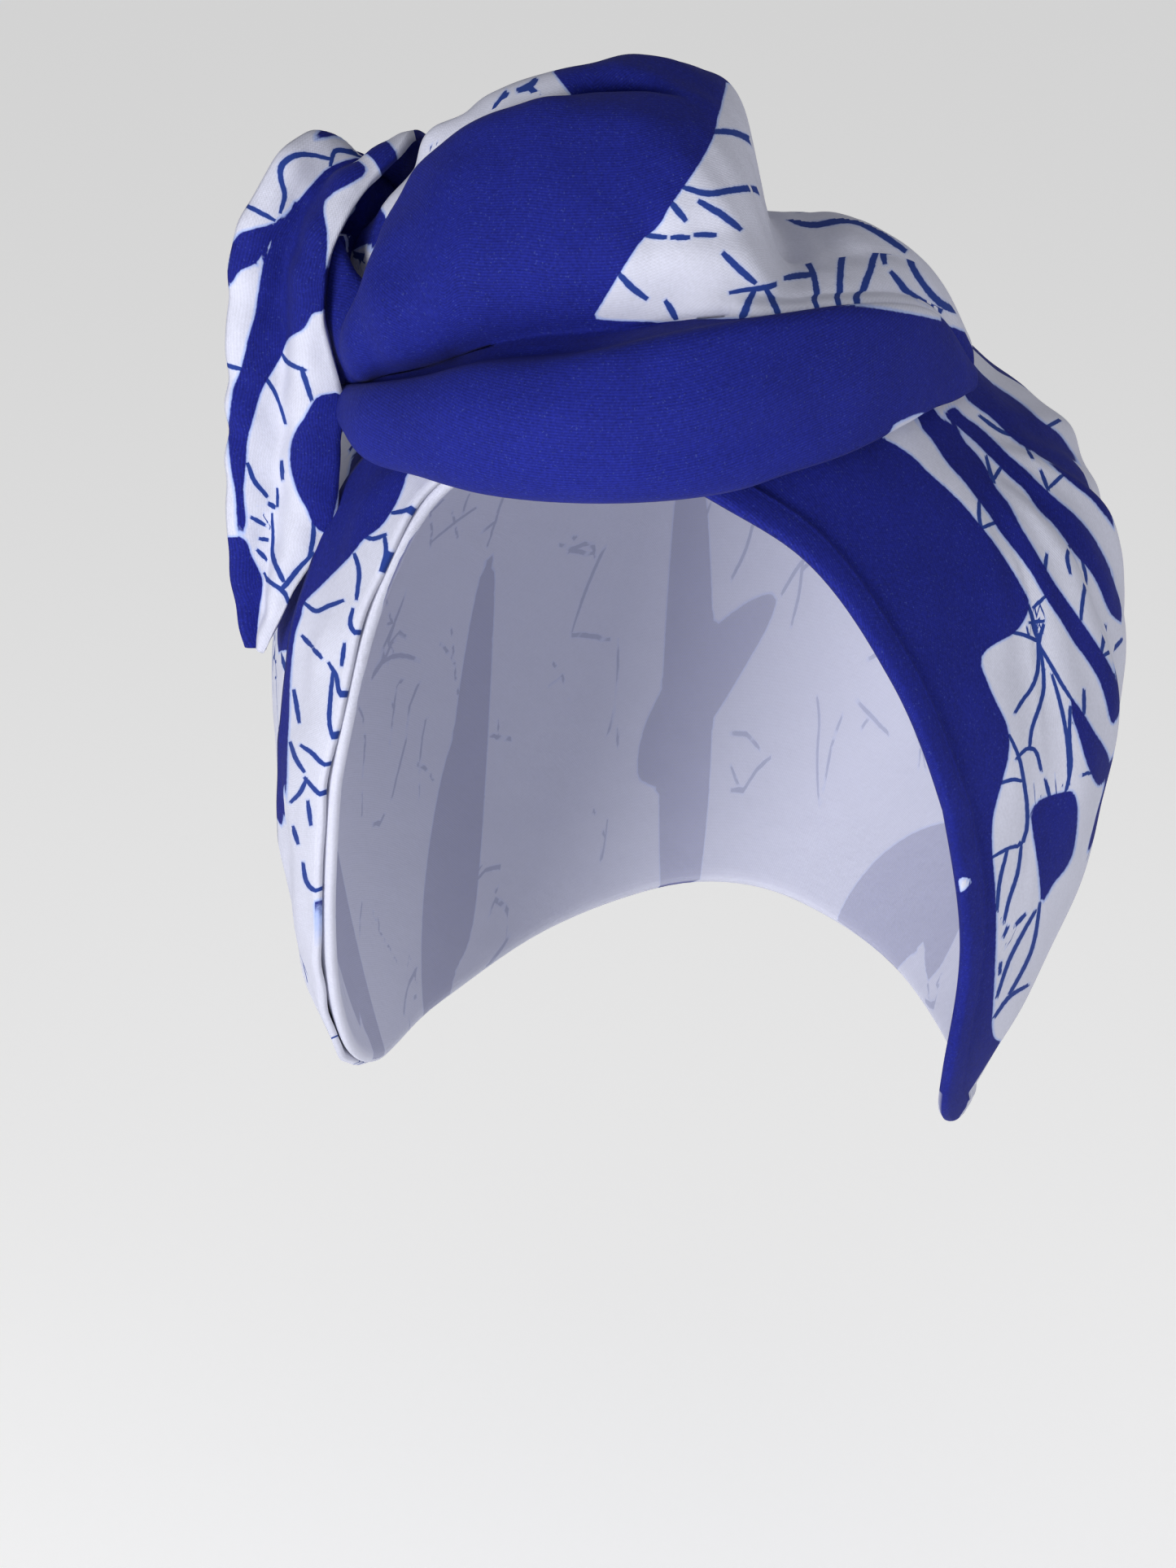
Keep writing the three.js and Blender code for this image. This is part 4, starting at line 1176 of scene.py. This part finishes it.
def cap_face(shares, hem_steps, outer):
    """A face of the cap: rows of points from the pole to the rim, and their flat map."""
    rim = RIM(CAP_TURNS)["reach"][None, :]
    main = (rim - hem_steps[0] / MM_PER_DEGREE) * shares[:, None]
    hem = rim - hem_steps[:, None] / MM_PER_DEGREE
    reach = np.vstack([main, hem])
    from_rim = (rim - reach) * MM_PER_DEGREE
    turn = np.broadcast_to(CAP_TURNS[None, :], reach.shape)
    way = direction(turn, reach)
    lift = cap_lift(way, fine=True)
    round_edge = np.sqrt(1 - (1 - np.clip(from_rim / RIM_ROUND, 0, 1)) ** 2)
    rim_height = RIM_SHARE * HEM_WALL
    if outer:
        wall = mix(CAP_WALL, HEM_WALL, 1 - ease(*HEM_THINS, from_rim - HEM_WIDTH))
        stitch = STITCH_DEPTH * np.exp(-(((from_rim - HEM_WIDTH + STITCH_IN) / STITCH_HALF) ** 2))
        soft = CAP_CRUMPLE * ripple(form_point(way, 0), CAP_WAVE, SEEDS["cap"])
        soft = soft * ease(0, CAP_WAVES_FULL, from_rim)
        lift = lift + mix(rim_height, wall, round_edge) - stitch + soft
    else:
        lift = lift + mix(rim_height, 0, round_edge)
    turn = np.radians(turn)
    flat = np.stack([reach * np.sin(turn), reach * np.cos(turn)], axis=-1) * MM_PER_DEGREE
    return form_point(way, lift), flat


def outward(name, grid):
    """The outward directions of a cloth's grid: away from the cap's middle, or towards the camera."""
    out = normals_of(grid)
    if name in ("band", "cap"):
        return out * np.sign(((grid - CAP_MIDDLE) * out).sum(axis=-1, keepdims=True))
    facing = ((VIEWPOINT - grid) * out).sum(axis=-1, keepdims=True)
    if name == "tail":
        return out * np.sign(facing)
    return out * np.sign(np.median(facing[:, BOW_FRONT_COLUMNS]))


def bow_print(points, steps):
    """The bow's print: one for its front layer, and one past the edge at which it turns over."""
    front = photo_fields(points, ALL_BLUE, BOW_FRONT_PALE, {}, BOW_FRONT_LINES, BOW_LINE)
    back = photo_fields(points, ALL_BLUE, BOW_BACK_PALE, BOW_BACK_BLUE, BOW_BACK_LINES, BOW_LINE)
    turned_over = (steps > BOW_EDGE + 0.1).reshape(-1)
    return [np.where(turned_over, b, a) for a, b in zip(front, back)]


def cap_print(points):
    """The cap's print, with two pale chips in its blue."""
    fields = photo_fields(points, ALL_PALE, {}, CAP_BLUE, CAP_LINES, CAP_LINE)
    chips = photo_fields(points, ALL_BLUE, CAP_PALE, {}, [], CAP_LINE)
    return [np.maximum(fields[0], chips[0]), *fields[1:]]


def tail_print(points, rows, columns):
    """The tail's print, all blue near its root."""
    fields = photo_fields(points, ALL_PALE, {}, TAIL_BLUE, TAIL_LINES, TAIL_LINE)
    step = np.repeat(np.linspace(0, TAIL_STEPS, rows), columns)
    fields[0] = np.where(step < TAIL_BLUE_ROOT, ALL_BLUE, fields[0])
    return fields


def make_lining():
    """The cap's lining: scattered print on its paler side, and the printed side turned in at the hem."""
    inner, flat = cap_face(np.linspace(0, 1, LINING_ROWS + 1)[:-1], HEM_STEPS[::2], False)
    spots = flat.reshape(-1, 2)
    blue, lines = scattered(spots.min(axis=0), spots.max(axis=0), SEEDS["lining"])
    main = dye_fields(spots, ALL_PALE, {}, blue, lines, CAP_LINE)
    hem = photo_fields(inner.reshape(-1, 3), ALL_PALE, {}, CAP_BLUE, [], CAP_LINE)
    low_rows = np.arange(inner.shape[0]) > inner.shape[0] - 1 - HEM_TURNED_IN
    blue_side = np.abs(CAP_TURNS - HEM_BLUE_TURN) < HEM_BLUE_HALF
    turned_in = (low_rows[:, None] & blue_side[None, :]).reshape(-1)
    fields = [np.where(turned_in, b, a) for a, b in zip(main, hem)]
    return cloth_object("lining", inner, flat, fields, (~turned_in).astype(float))


def make_pieces():
    """All the cloth pieces but the knot, with the print's fields on them."""
    bow, bow_steps = creased_bow()
    outer, outer_flat = cap_face(np.linspace(0, 1, CAP_ROWS + 1)[:-1] ** CAP_ROW_POWER, HEM_STEPS, True)
    sheets = {
        "bow": (bow, BOW_WALL / 2),
        "band": (band_grid(*BAND_POINTS), BAND_WALL / 2),
        "tail": (tail_grid(*TAIL_POINTS), TAIL_WALL / 2),
        "cap": (outer, 0),
    }
    for grid, half in sheets.values():
        out = normals_of(grid)
        toward = np.sign(((VIEWPOINT - grid) * out).sum(axis=-1, keepdims=True))
        shade_behind(grid + out * toward * half)
    prints = {
        "bow": lambda points: bow_print(points, bow_steps),
        "band": lambda points: photo_fields(points, ALL_PALE, {}, BAND_BLUE, BAND_LINES, BAND_LINE),
        "tail": lambda points: tail_print(points, *TAIL_POINTS),
        "cap": cap_print,
    }

    pieces = {}
    for name, (grid, half) in sheets.items():
        out = outward(name, grid)
        seen = in_view((grid + out * half).reshape(-1, 3), out.reshape(-1, 3))
        flat = (outer_flat if name == "cap" else lengths_map(grid)).reshape(-1, 2)
        points = grid.reshape(-1, 3)
        fields = spread_print(points, flat, seen, prints[name](points))
        pieces[name] = cloth_object(name + "_cloth", grid, flat, fields, 0 if name == "cap" else None)
    pieces["lining"] = make_lining()
    return pieces


def close_cap(outer, lining):
    """Joins the cap's outer side and its lining round the rim into one closed cloth."""
    work = bmesh.new()
    work.from_mesh(outer.data)
    work.from_mesh(lining.data)
    bmesh.ops.remove_doubles(work, verts=work.verts, dist=0.01 * MM)
    rims = [edge for edge in work.edges if edge.is_boundary]
    bmesh.ops.bridge_loops(work, edges=rims)
    bmesh.ops.recalc_face_normals(work, faces=work.faces)
    for face in work.faces:
        face.smooth = True
    work.to_mesh(outer.data)
    work.free()
    bpy.data.objects.remove(lining)
    return outer


def make_knot():
    """A wound twist of cloth in the hole at the bow's end: a ball drawn into a grooved twist."""
    work = bmesh.new()
    work.loops.layers.uv.new("cloth")
    bmesh.ops.create_uvsphere(work, u_segments=96, v_segments=64, radius=KNOT_RADIUS, calc_uvs=True)
    for vertex in work.verts:
        level = vertex.co.z / KNOT_RADIUS
        turn = math.atan2(-vertex.co.y, vertex.co.x)
        groove = math.cos(turn * KNOT_TURNS + level * KNOT_LEANS[0])
        fine = KNOT_FINE * math.cos(turn * 4 * KNOT_TURNS + level * KNOT_LEANS[1])
        swell = 1 + KNOT_GROOVE * (groove + fine) * (1 - level * level)
        vertex.co = Vector((
            vertex.co.x * KNOT_SHAPE[0] * swell + KNOT_SPOT[0],
            vertex.co.y * KNOT_SHAPE[1] * swell + KNOT_SPOT[1],
            vertex.co.z * KNOT_SHAPE[2] + KNOT_SPOT[2],
        )) * MM
    for face in work.faces:
        face.smooth = True
    twist = bpy.data.meshes.new("knot_twist")
    work.to_mesh(twist)
    work.free()
    spots = np.array([vertex.co for vertex in twist.vertices]) / MM
    write_fields(twist, zip(FIELDS, photo_fields(spots, ALL_BLUE, KNOT_PALE, {}, [], CAP_LINE)))
    return add_piece("knot_twist", twist)


class Nodes:
    """A node tree that is filled step by step."""

    def __init__(self, tree):
        self.tree = tree

    def add(self, kind, settings=None, **inputs):
        """A new node with its settings and its inputs, in which an underscore stands for a space."""
        node = self.tree.nodes.new(kind)
        for key, value in (settings or {}).items():
            setattr(node, key, value)
        for key, value in inputs.items():
            self.feed(node, key.replace("_", " "), value)
        return node

    def feed(self, node, key, value):
        """Links an output to a socket, or sets the socket's value."""
        socket = node.inputs[int(key)] if key.isdigit() else node.inputs[key]
        if isinstance(value, bpy.types.NodeSocket):
            self.tree.links.new(value, socket)
        else:
            socket.default_value = value

    def maths(self, operation, a, b=0.0):
        """A calculation with one or two values or outputs."""
        node = self.add("ShaderNodeMath", {"operation": operation})
        self.feed(node, "0", a)
        self.feed(node, "1", b)
        return node.outputs[0]

    def plus(self, a, b):
        return self.maths("ADD", a, b)

    def times(self, a, b):
        return self.maths("MULTIPLY", a, b)

    def step(self, value, low, high, first=0.0, last=1.0):
        """A smooth step from the first to the last value between low and high."""
        node = self.add("ShaderNodeMapRange", {"interpolation_type": "SMOOTHSTEP"}, Value=value)
        for key, item in (("From Min", low), ("From Max", high), ("To Min", first), ("To Max", last)):
            self.feed(node, key, item)
        return node.outputs[0]

    def blend(self, share, a, b):
        """A colour at a share of the way from a to b."""
        node = self.add("ShaderNodeMix", {"data_type": "RGBA"})
        for key, item in (("0", share), ("6", a), ("7", b)):
            self.feed(node, key, item)
        return node.outputs[2]

    def shaded(self, colour, value):
        """A colour made lighter or darker by a value."""
        return self.add("ShaderNodeHueSaturation", Color=colour, Value=value).outputs[0]

    def noise(self, vector, scale, detail=2.0):
        """Noise from 0 to 1, its scale in spots for each metre."""
        return self.add("ShaderNodeTexNoise", Vector=vector, Scale=scale, Detail=detail).outputs[0]


def group(name, inputs, outputs):
    """An empty shader node group with named sockets."""
    tree = bpy.data.node_groups.new(name, "ShaderNodeTree")
    for label, kind, value in inputs:
        socket = tree.interface.new_socket(name=label, in_out="INPUT", socket_type=kind)
        if value is not None:
            socket.default_value = value
    for label, kind in outputs:
        tree.interface.new_socket(name=label, in_out="OUTPUT", socket_type=kind)
    return Nodes(tree), tree.nodes.new("NodeGroupInput").outputs, tree.nodes.new("NodeGroupOutput")


FLOAT, COLOUR, VECTOR = "NodeSocketFloat", "NodeSocketColor", "NodeSocketVector"

# Noise scales for each metre: a printed edge's waver, the dye's clouds and flecks, lint, slubs and
# crumples.
WAVER_SCALE = 900
CLOUD_SCALE = 70
FLECK_SCALE = 1800
LINT_SCALE = 2600
SLUB_SCALE = 500
CRUMPLE_SCALE = 110

# The dye's edges, as smooth steps from none to full: millimetres from a patch's outline, half widths
# from a line's middle and millimetres past its end. The bleed and the halo are the paler dye round
# them.
PATCH_EDGE = (0.12, -0.12)
PATCH_BLEED = (0.6, 0.0)
LINE_EDGE = (1.15, 0.85)
LINE_END = (0.6, 0.35)
HALO_EDGE = (1.9, 0.9)
HALO_END = (1.0, 0.5)
PATCH_WAVER = 0.22
LINE_WAVER = 0.5
BLEED_SHARE = 0.75
HALO_SHARE = 0.4

# How much clouds, flecks and threads shade the dye, the shades without them, the lint's steps and its
# share, and how much of the print is lost on the cloth's reverse.
CLOUD_SHADE = 0.36
FLECK_SHADE = 0.95
THREAD_SHADE = 0.16
BLUE_SHADE = 0.34
PALE_SHADE = 0.856
PALE_SHARE = 0.22
LINT_STEPS = (0.62, 0.78)
LINT_SHARE = 0.08
REVERSE_SHARE = 0.7

# The heights of threads and crumples in metres, how strongly they show, and the roughness of the
# cotton, with what its slubs add.
THREAD_HEIGHT = 0.00002
CRUMPLE_HEIGHT = 0.0012
BUMP_STRENGTH = 0.7
ROUGHNESS = 0.8
SLUB_ROUGHNESS = 0.12


def make_dye_group():
    """Wax-resist dye: blue patches and drawn lines with a soft blue bleed at their edges."""
    nodes, given, out = group("wax_dye", [
        ("Place", VECTOR, None), ("Thread", FLOAT, 0), ("Reverse", FLOAT, 0),
        ("Blue", COLOUR, PRINT_BLUE), ("Pale", COLOUR, PRINT_PALE),
        ("Line", COLOUR, LINE_BLUE), ("Bleed", COLOUR, BLEED_BLUE),
        *[(field, FLOAT, NO_LINE) for field in FIELDS],
    ], [("Colour", COLOUR)])
    place = given["Place"]
    waver = nodes.maths("SUBTRACT", nodes.noise(place, WAVER_SCALE), 0.5)
    patch = nodes.plus(given["patch"], nodes.times(waver, PATCH_WAVER))
    on_line, near_line = 0.0, 0.0
    for letter in LINE_SETS:
        side = nodes.maths("ABSOLUTE", given["offset_" + letter])
        side = nodes.plus(side, nodes.times(waver, LINE_WAVER))
        past = given["past_" + letter]
        drawn = nodes.times(nodes.step(side, *LINE_EDGE), nodes.step(past, *LINE_END))
        halo = nodes.times(nodes.step(side, *HALO_EDGE), nodes.step(past, *HALO_END))
        on_line = nodes.maths("MAXIMUM", drawn, on_line)
        near_line = nodes.maths("MAXIMUM", halo, near_line)
    patch_bleed = nodes.step(patch, *PATCH_BLEED, 0.0, BLEED_SHARE)
    bleed = nodes.maths("MAXIMUM", patch_bleed, nodes.times(near_line, HALO_SHARE))
    clouds = nodes.times(nodes.noise(place, CLOUD_SCALE, 3.0), CLOUD_SHADE)
    flecks = nodes.times(nodes.noise(place, FLECK_SCALE, 2.0), FLECK_SHADE)
    tone = nodes.plus(clouds, nodes.plus(flecks, nodes.times(given["Thread"], THREAD_SHADE)))
    lint = nodes.step(nodes.noise(place, LINT_SCALE, 1.0), *LINT_STEPS, 0.0, LINT_SHARE)
    deep = nodes.shaded(given["Blue"], nodes.plus(tone, BLUE_SHADE))
    clean = nodes.shaded(given["Pale"], nodes.plus(nodes.times(tone, PALE_SHARE), PALE_SHADE))
    inked = nodes.blend(on_line, nodes.blend(bleed, clean, given["Bleed"]), given["Line"])
    dyed = nodes.blend(nodes.step(patch, *PATCH_EDGE), inked, nodes.blend(lint, deep, given["Bleed"]))
    washed_out = nodes.times(given["Reverse"], REVERSE_SHARE)
    nodes.feed(out, "Colour", nodes.blend(washed_out, dyed, given["Pale"]))
    return nodes.tree


def make_weave_group():
    """A plain cotton weave: crossing threads with slubs, as a height, a thread pattern and a roughness."""
    nodes, given, out = group("plain_weave", [
        ("Chart", VECTOR, None), ("Place", VECTOR, None),
        ("Threads", FLOAT, 2 * math.pi / THREAD_GAP), ("Crumple", FLOAT, 0.5),
    ], [("Height", FLOAT), ("Thread", FLOAT), ("Fuzz", FLOAT)])
    split = nodes.add("ShaderNodeSeparateXYZ", Vector=given["Chart"])
    weft, warp = (nodes.maths("SINE", nodes.times(split.outputs[k], given["Threads"])) for k in (0, 1))
    slub = nodes.noise(given["Place"], SLUB_SCALE, 2.0)
    crumple = nodes.times(nodes.noise(given["Place"], CRUMPLE_SCALE, 3.0), given["Crumple"])
    fine = nodes.times(nodes.plus(nodes.times(weft, warp), nodes.times(slub, 4.0)), THREAD_HEIGHT)
    nodes.feed(out, "Height", nodes.plus(fine, nodes.times(crumple, CRUMPLE_HEIGHT)))
    nodes.feed(out, "Thread", nodes.times(warp, nodes.plus(slub, 0.5)))
    nodes.feed(out, "Fuzz", nodes.plus(nodes.times(slub, SLUB_ROUGHNESS), ROUGHNESS))
    return nodes.tree


def make_cotton(name, dye, weave, blue):
    """A printed cotton that reads its fields and its flat map from the piece."""
    material = bpy.data.materials.new(name)
    material.use_nodes = True
    nodes = Nodes(material.node_tree)
    shader = material.node_tree.nodes["Principled BSDF"]
    place = nodes.add("ShaderNodeTexCoord").outputs["Object"]
    chart = nodes.add("ShaderNodeUVMap", {"uv_map": "cloth"}).outputs[0]
    cloth = nodes.add("ShaderNodeGroup", {"node_tree": weave}, Chart=chart, Place=place)
    tone = nodes.add("ShaderNodeGroup", {"node_tree": dye}, Place=place, Blue=blue, Pale=PRINT_PALE)
    nodes.feed(tone, "Thread", cloth.outputs["Thread"])
    for label in (*FIELDS, "reverse"):
        field = nodes.add("ShaderNodeAttribute", {"attribute_name": label})
        nodes.feed(tone, "Reverse" if label == "reverse" else label, field.outputs["Fac"])
    bump = nodes.add("ShaderNodeBump", Strength=BUMP_STRENGTH, Distance=1.0, Height=cloth.outputs["Height"])
    nodes.feed(shader, "Base Color", tone.outputs["Colour"])
    nodes.feed(shader, "Roughness", cloth.outputs["Fuzz"])
    nodes.feed(shader, "Normal", bump.outputs[0])
    shader.inputs["Sheen Weight"].default_value = SHEEN
    shader.inputs["Sheen Roughness"].default_value = SHEEN_ROUGHNESS
    shader.inputs["Specular IOR Level"].default_value = SPECULAR
    return material


def make_floor():
    """A plain pale floor below the held turban."""
    work = bmesh.new()
    bmesh.ops.create_grid(work, x_segments=1, y_segments=1, size=4)
    bmesh.ops.translate(work, verts=work.verts, vec=(0, 0, FLOOR_LEVEL * MM))
    ground = bpy.data.meshes.new("floor")
    work.to_mesh(ground)
    work.free()
    material = bpy.data.materials.new("pale_floor")
    material.use_nodes = True
    shader = material.node_tree.nodes["Principled BSDF"]
    shader.inputs["Base Color"].default_value = (FLOOR_SHADE, FLOOR_SHADE, FLOOR_SHADE, 1)
    shader.inputs["Emission Color"].default_value = (1, 1, 1, 1)
    shader.inputs["Emission Strength"].default_value = FLOOR_GLOW
    shader.inputs["Roughness"].default_value = 0.9
    ground.materials.append(material)
    floor = add_piece("floor", ground)


def make_lights():
    """Soft studio light: an even pale surround and three large panels."""
    world = bpy.data.worlds.new("studio")
    world.use_nodes = True
    world.node_tree.nodes["Background"].inputs[0].default_value = (1, 1, 1, 1)
    world.node_tree.nodes["Background"].inputs[1].default_value = SURROUND
    bpy.context.scene.world = world
    for name, turn, rise, distance, size, power in LIGHTS:
        panel = bpy.data.lights.new(name, "AREA")
        panel.shape = "DISK"
        panel.size = size
        panel.energy = power
        lamp = bpy.data.objects.new(name, panel)
        bpy.context.scene.collection.objects.link(lamp)
        back = Vector(unit(turn, rise))
        lamp.location = Vector(LIT_SPOT) + back * distance
        lamp.rotation_mode = "QUATERNION"
        lamp.rotation_quaternion = back.to_track_quat("Z", "Y")


pieces = make_pieces()
cap = close_cap(pieces["cap"], pieces["lining"])
band, bow, tail = pieces["band"], pieces["bow"], pieces["tail"]
for walled, wall in ((band, BAND_WALL), (bow, BOW_WALL), (tail, TAIL_WALL)):
    tidy_cloth(walled)
    give_wall(walled, wall)
knot = make_knot()

dye_group = make_dye_group()
weave_group = make_weave_group()
printed = make_cotton("printed_cotton", dye_group, weave_group, PRINT_BLUE)
blue_cotton = make_cotton("blue_cotton", dye_group, weave_group, BOW_BLUE)

for piece, node, finish in (
    (cap, "cap", printed), (band, "side_band", printed), (tail, "tail", printed), (knot, "knot", printed),
    (bow, "bow", blue_cotton),
):
    piece.data.materials.append(finish)
    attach(piece, "root")
    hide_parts(node)

make_floor()
make_lights()
bpy.context.scene.view_settings.view_transform = "Standard"
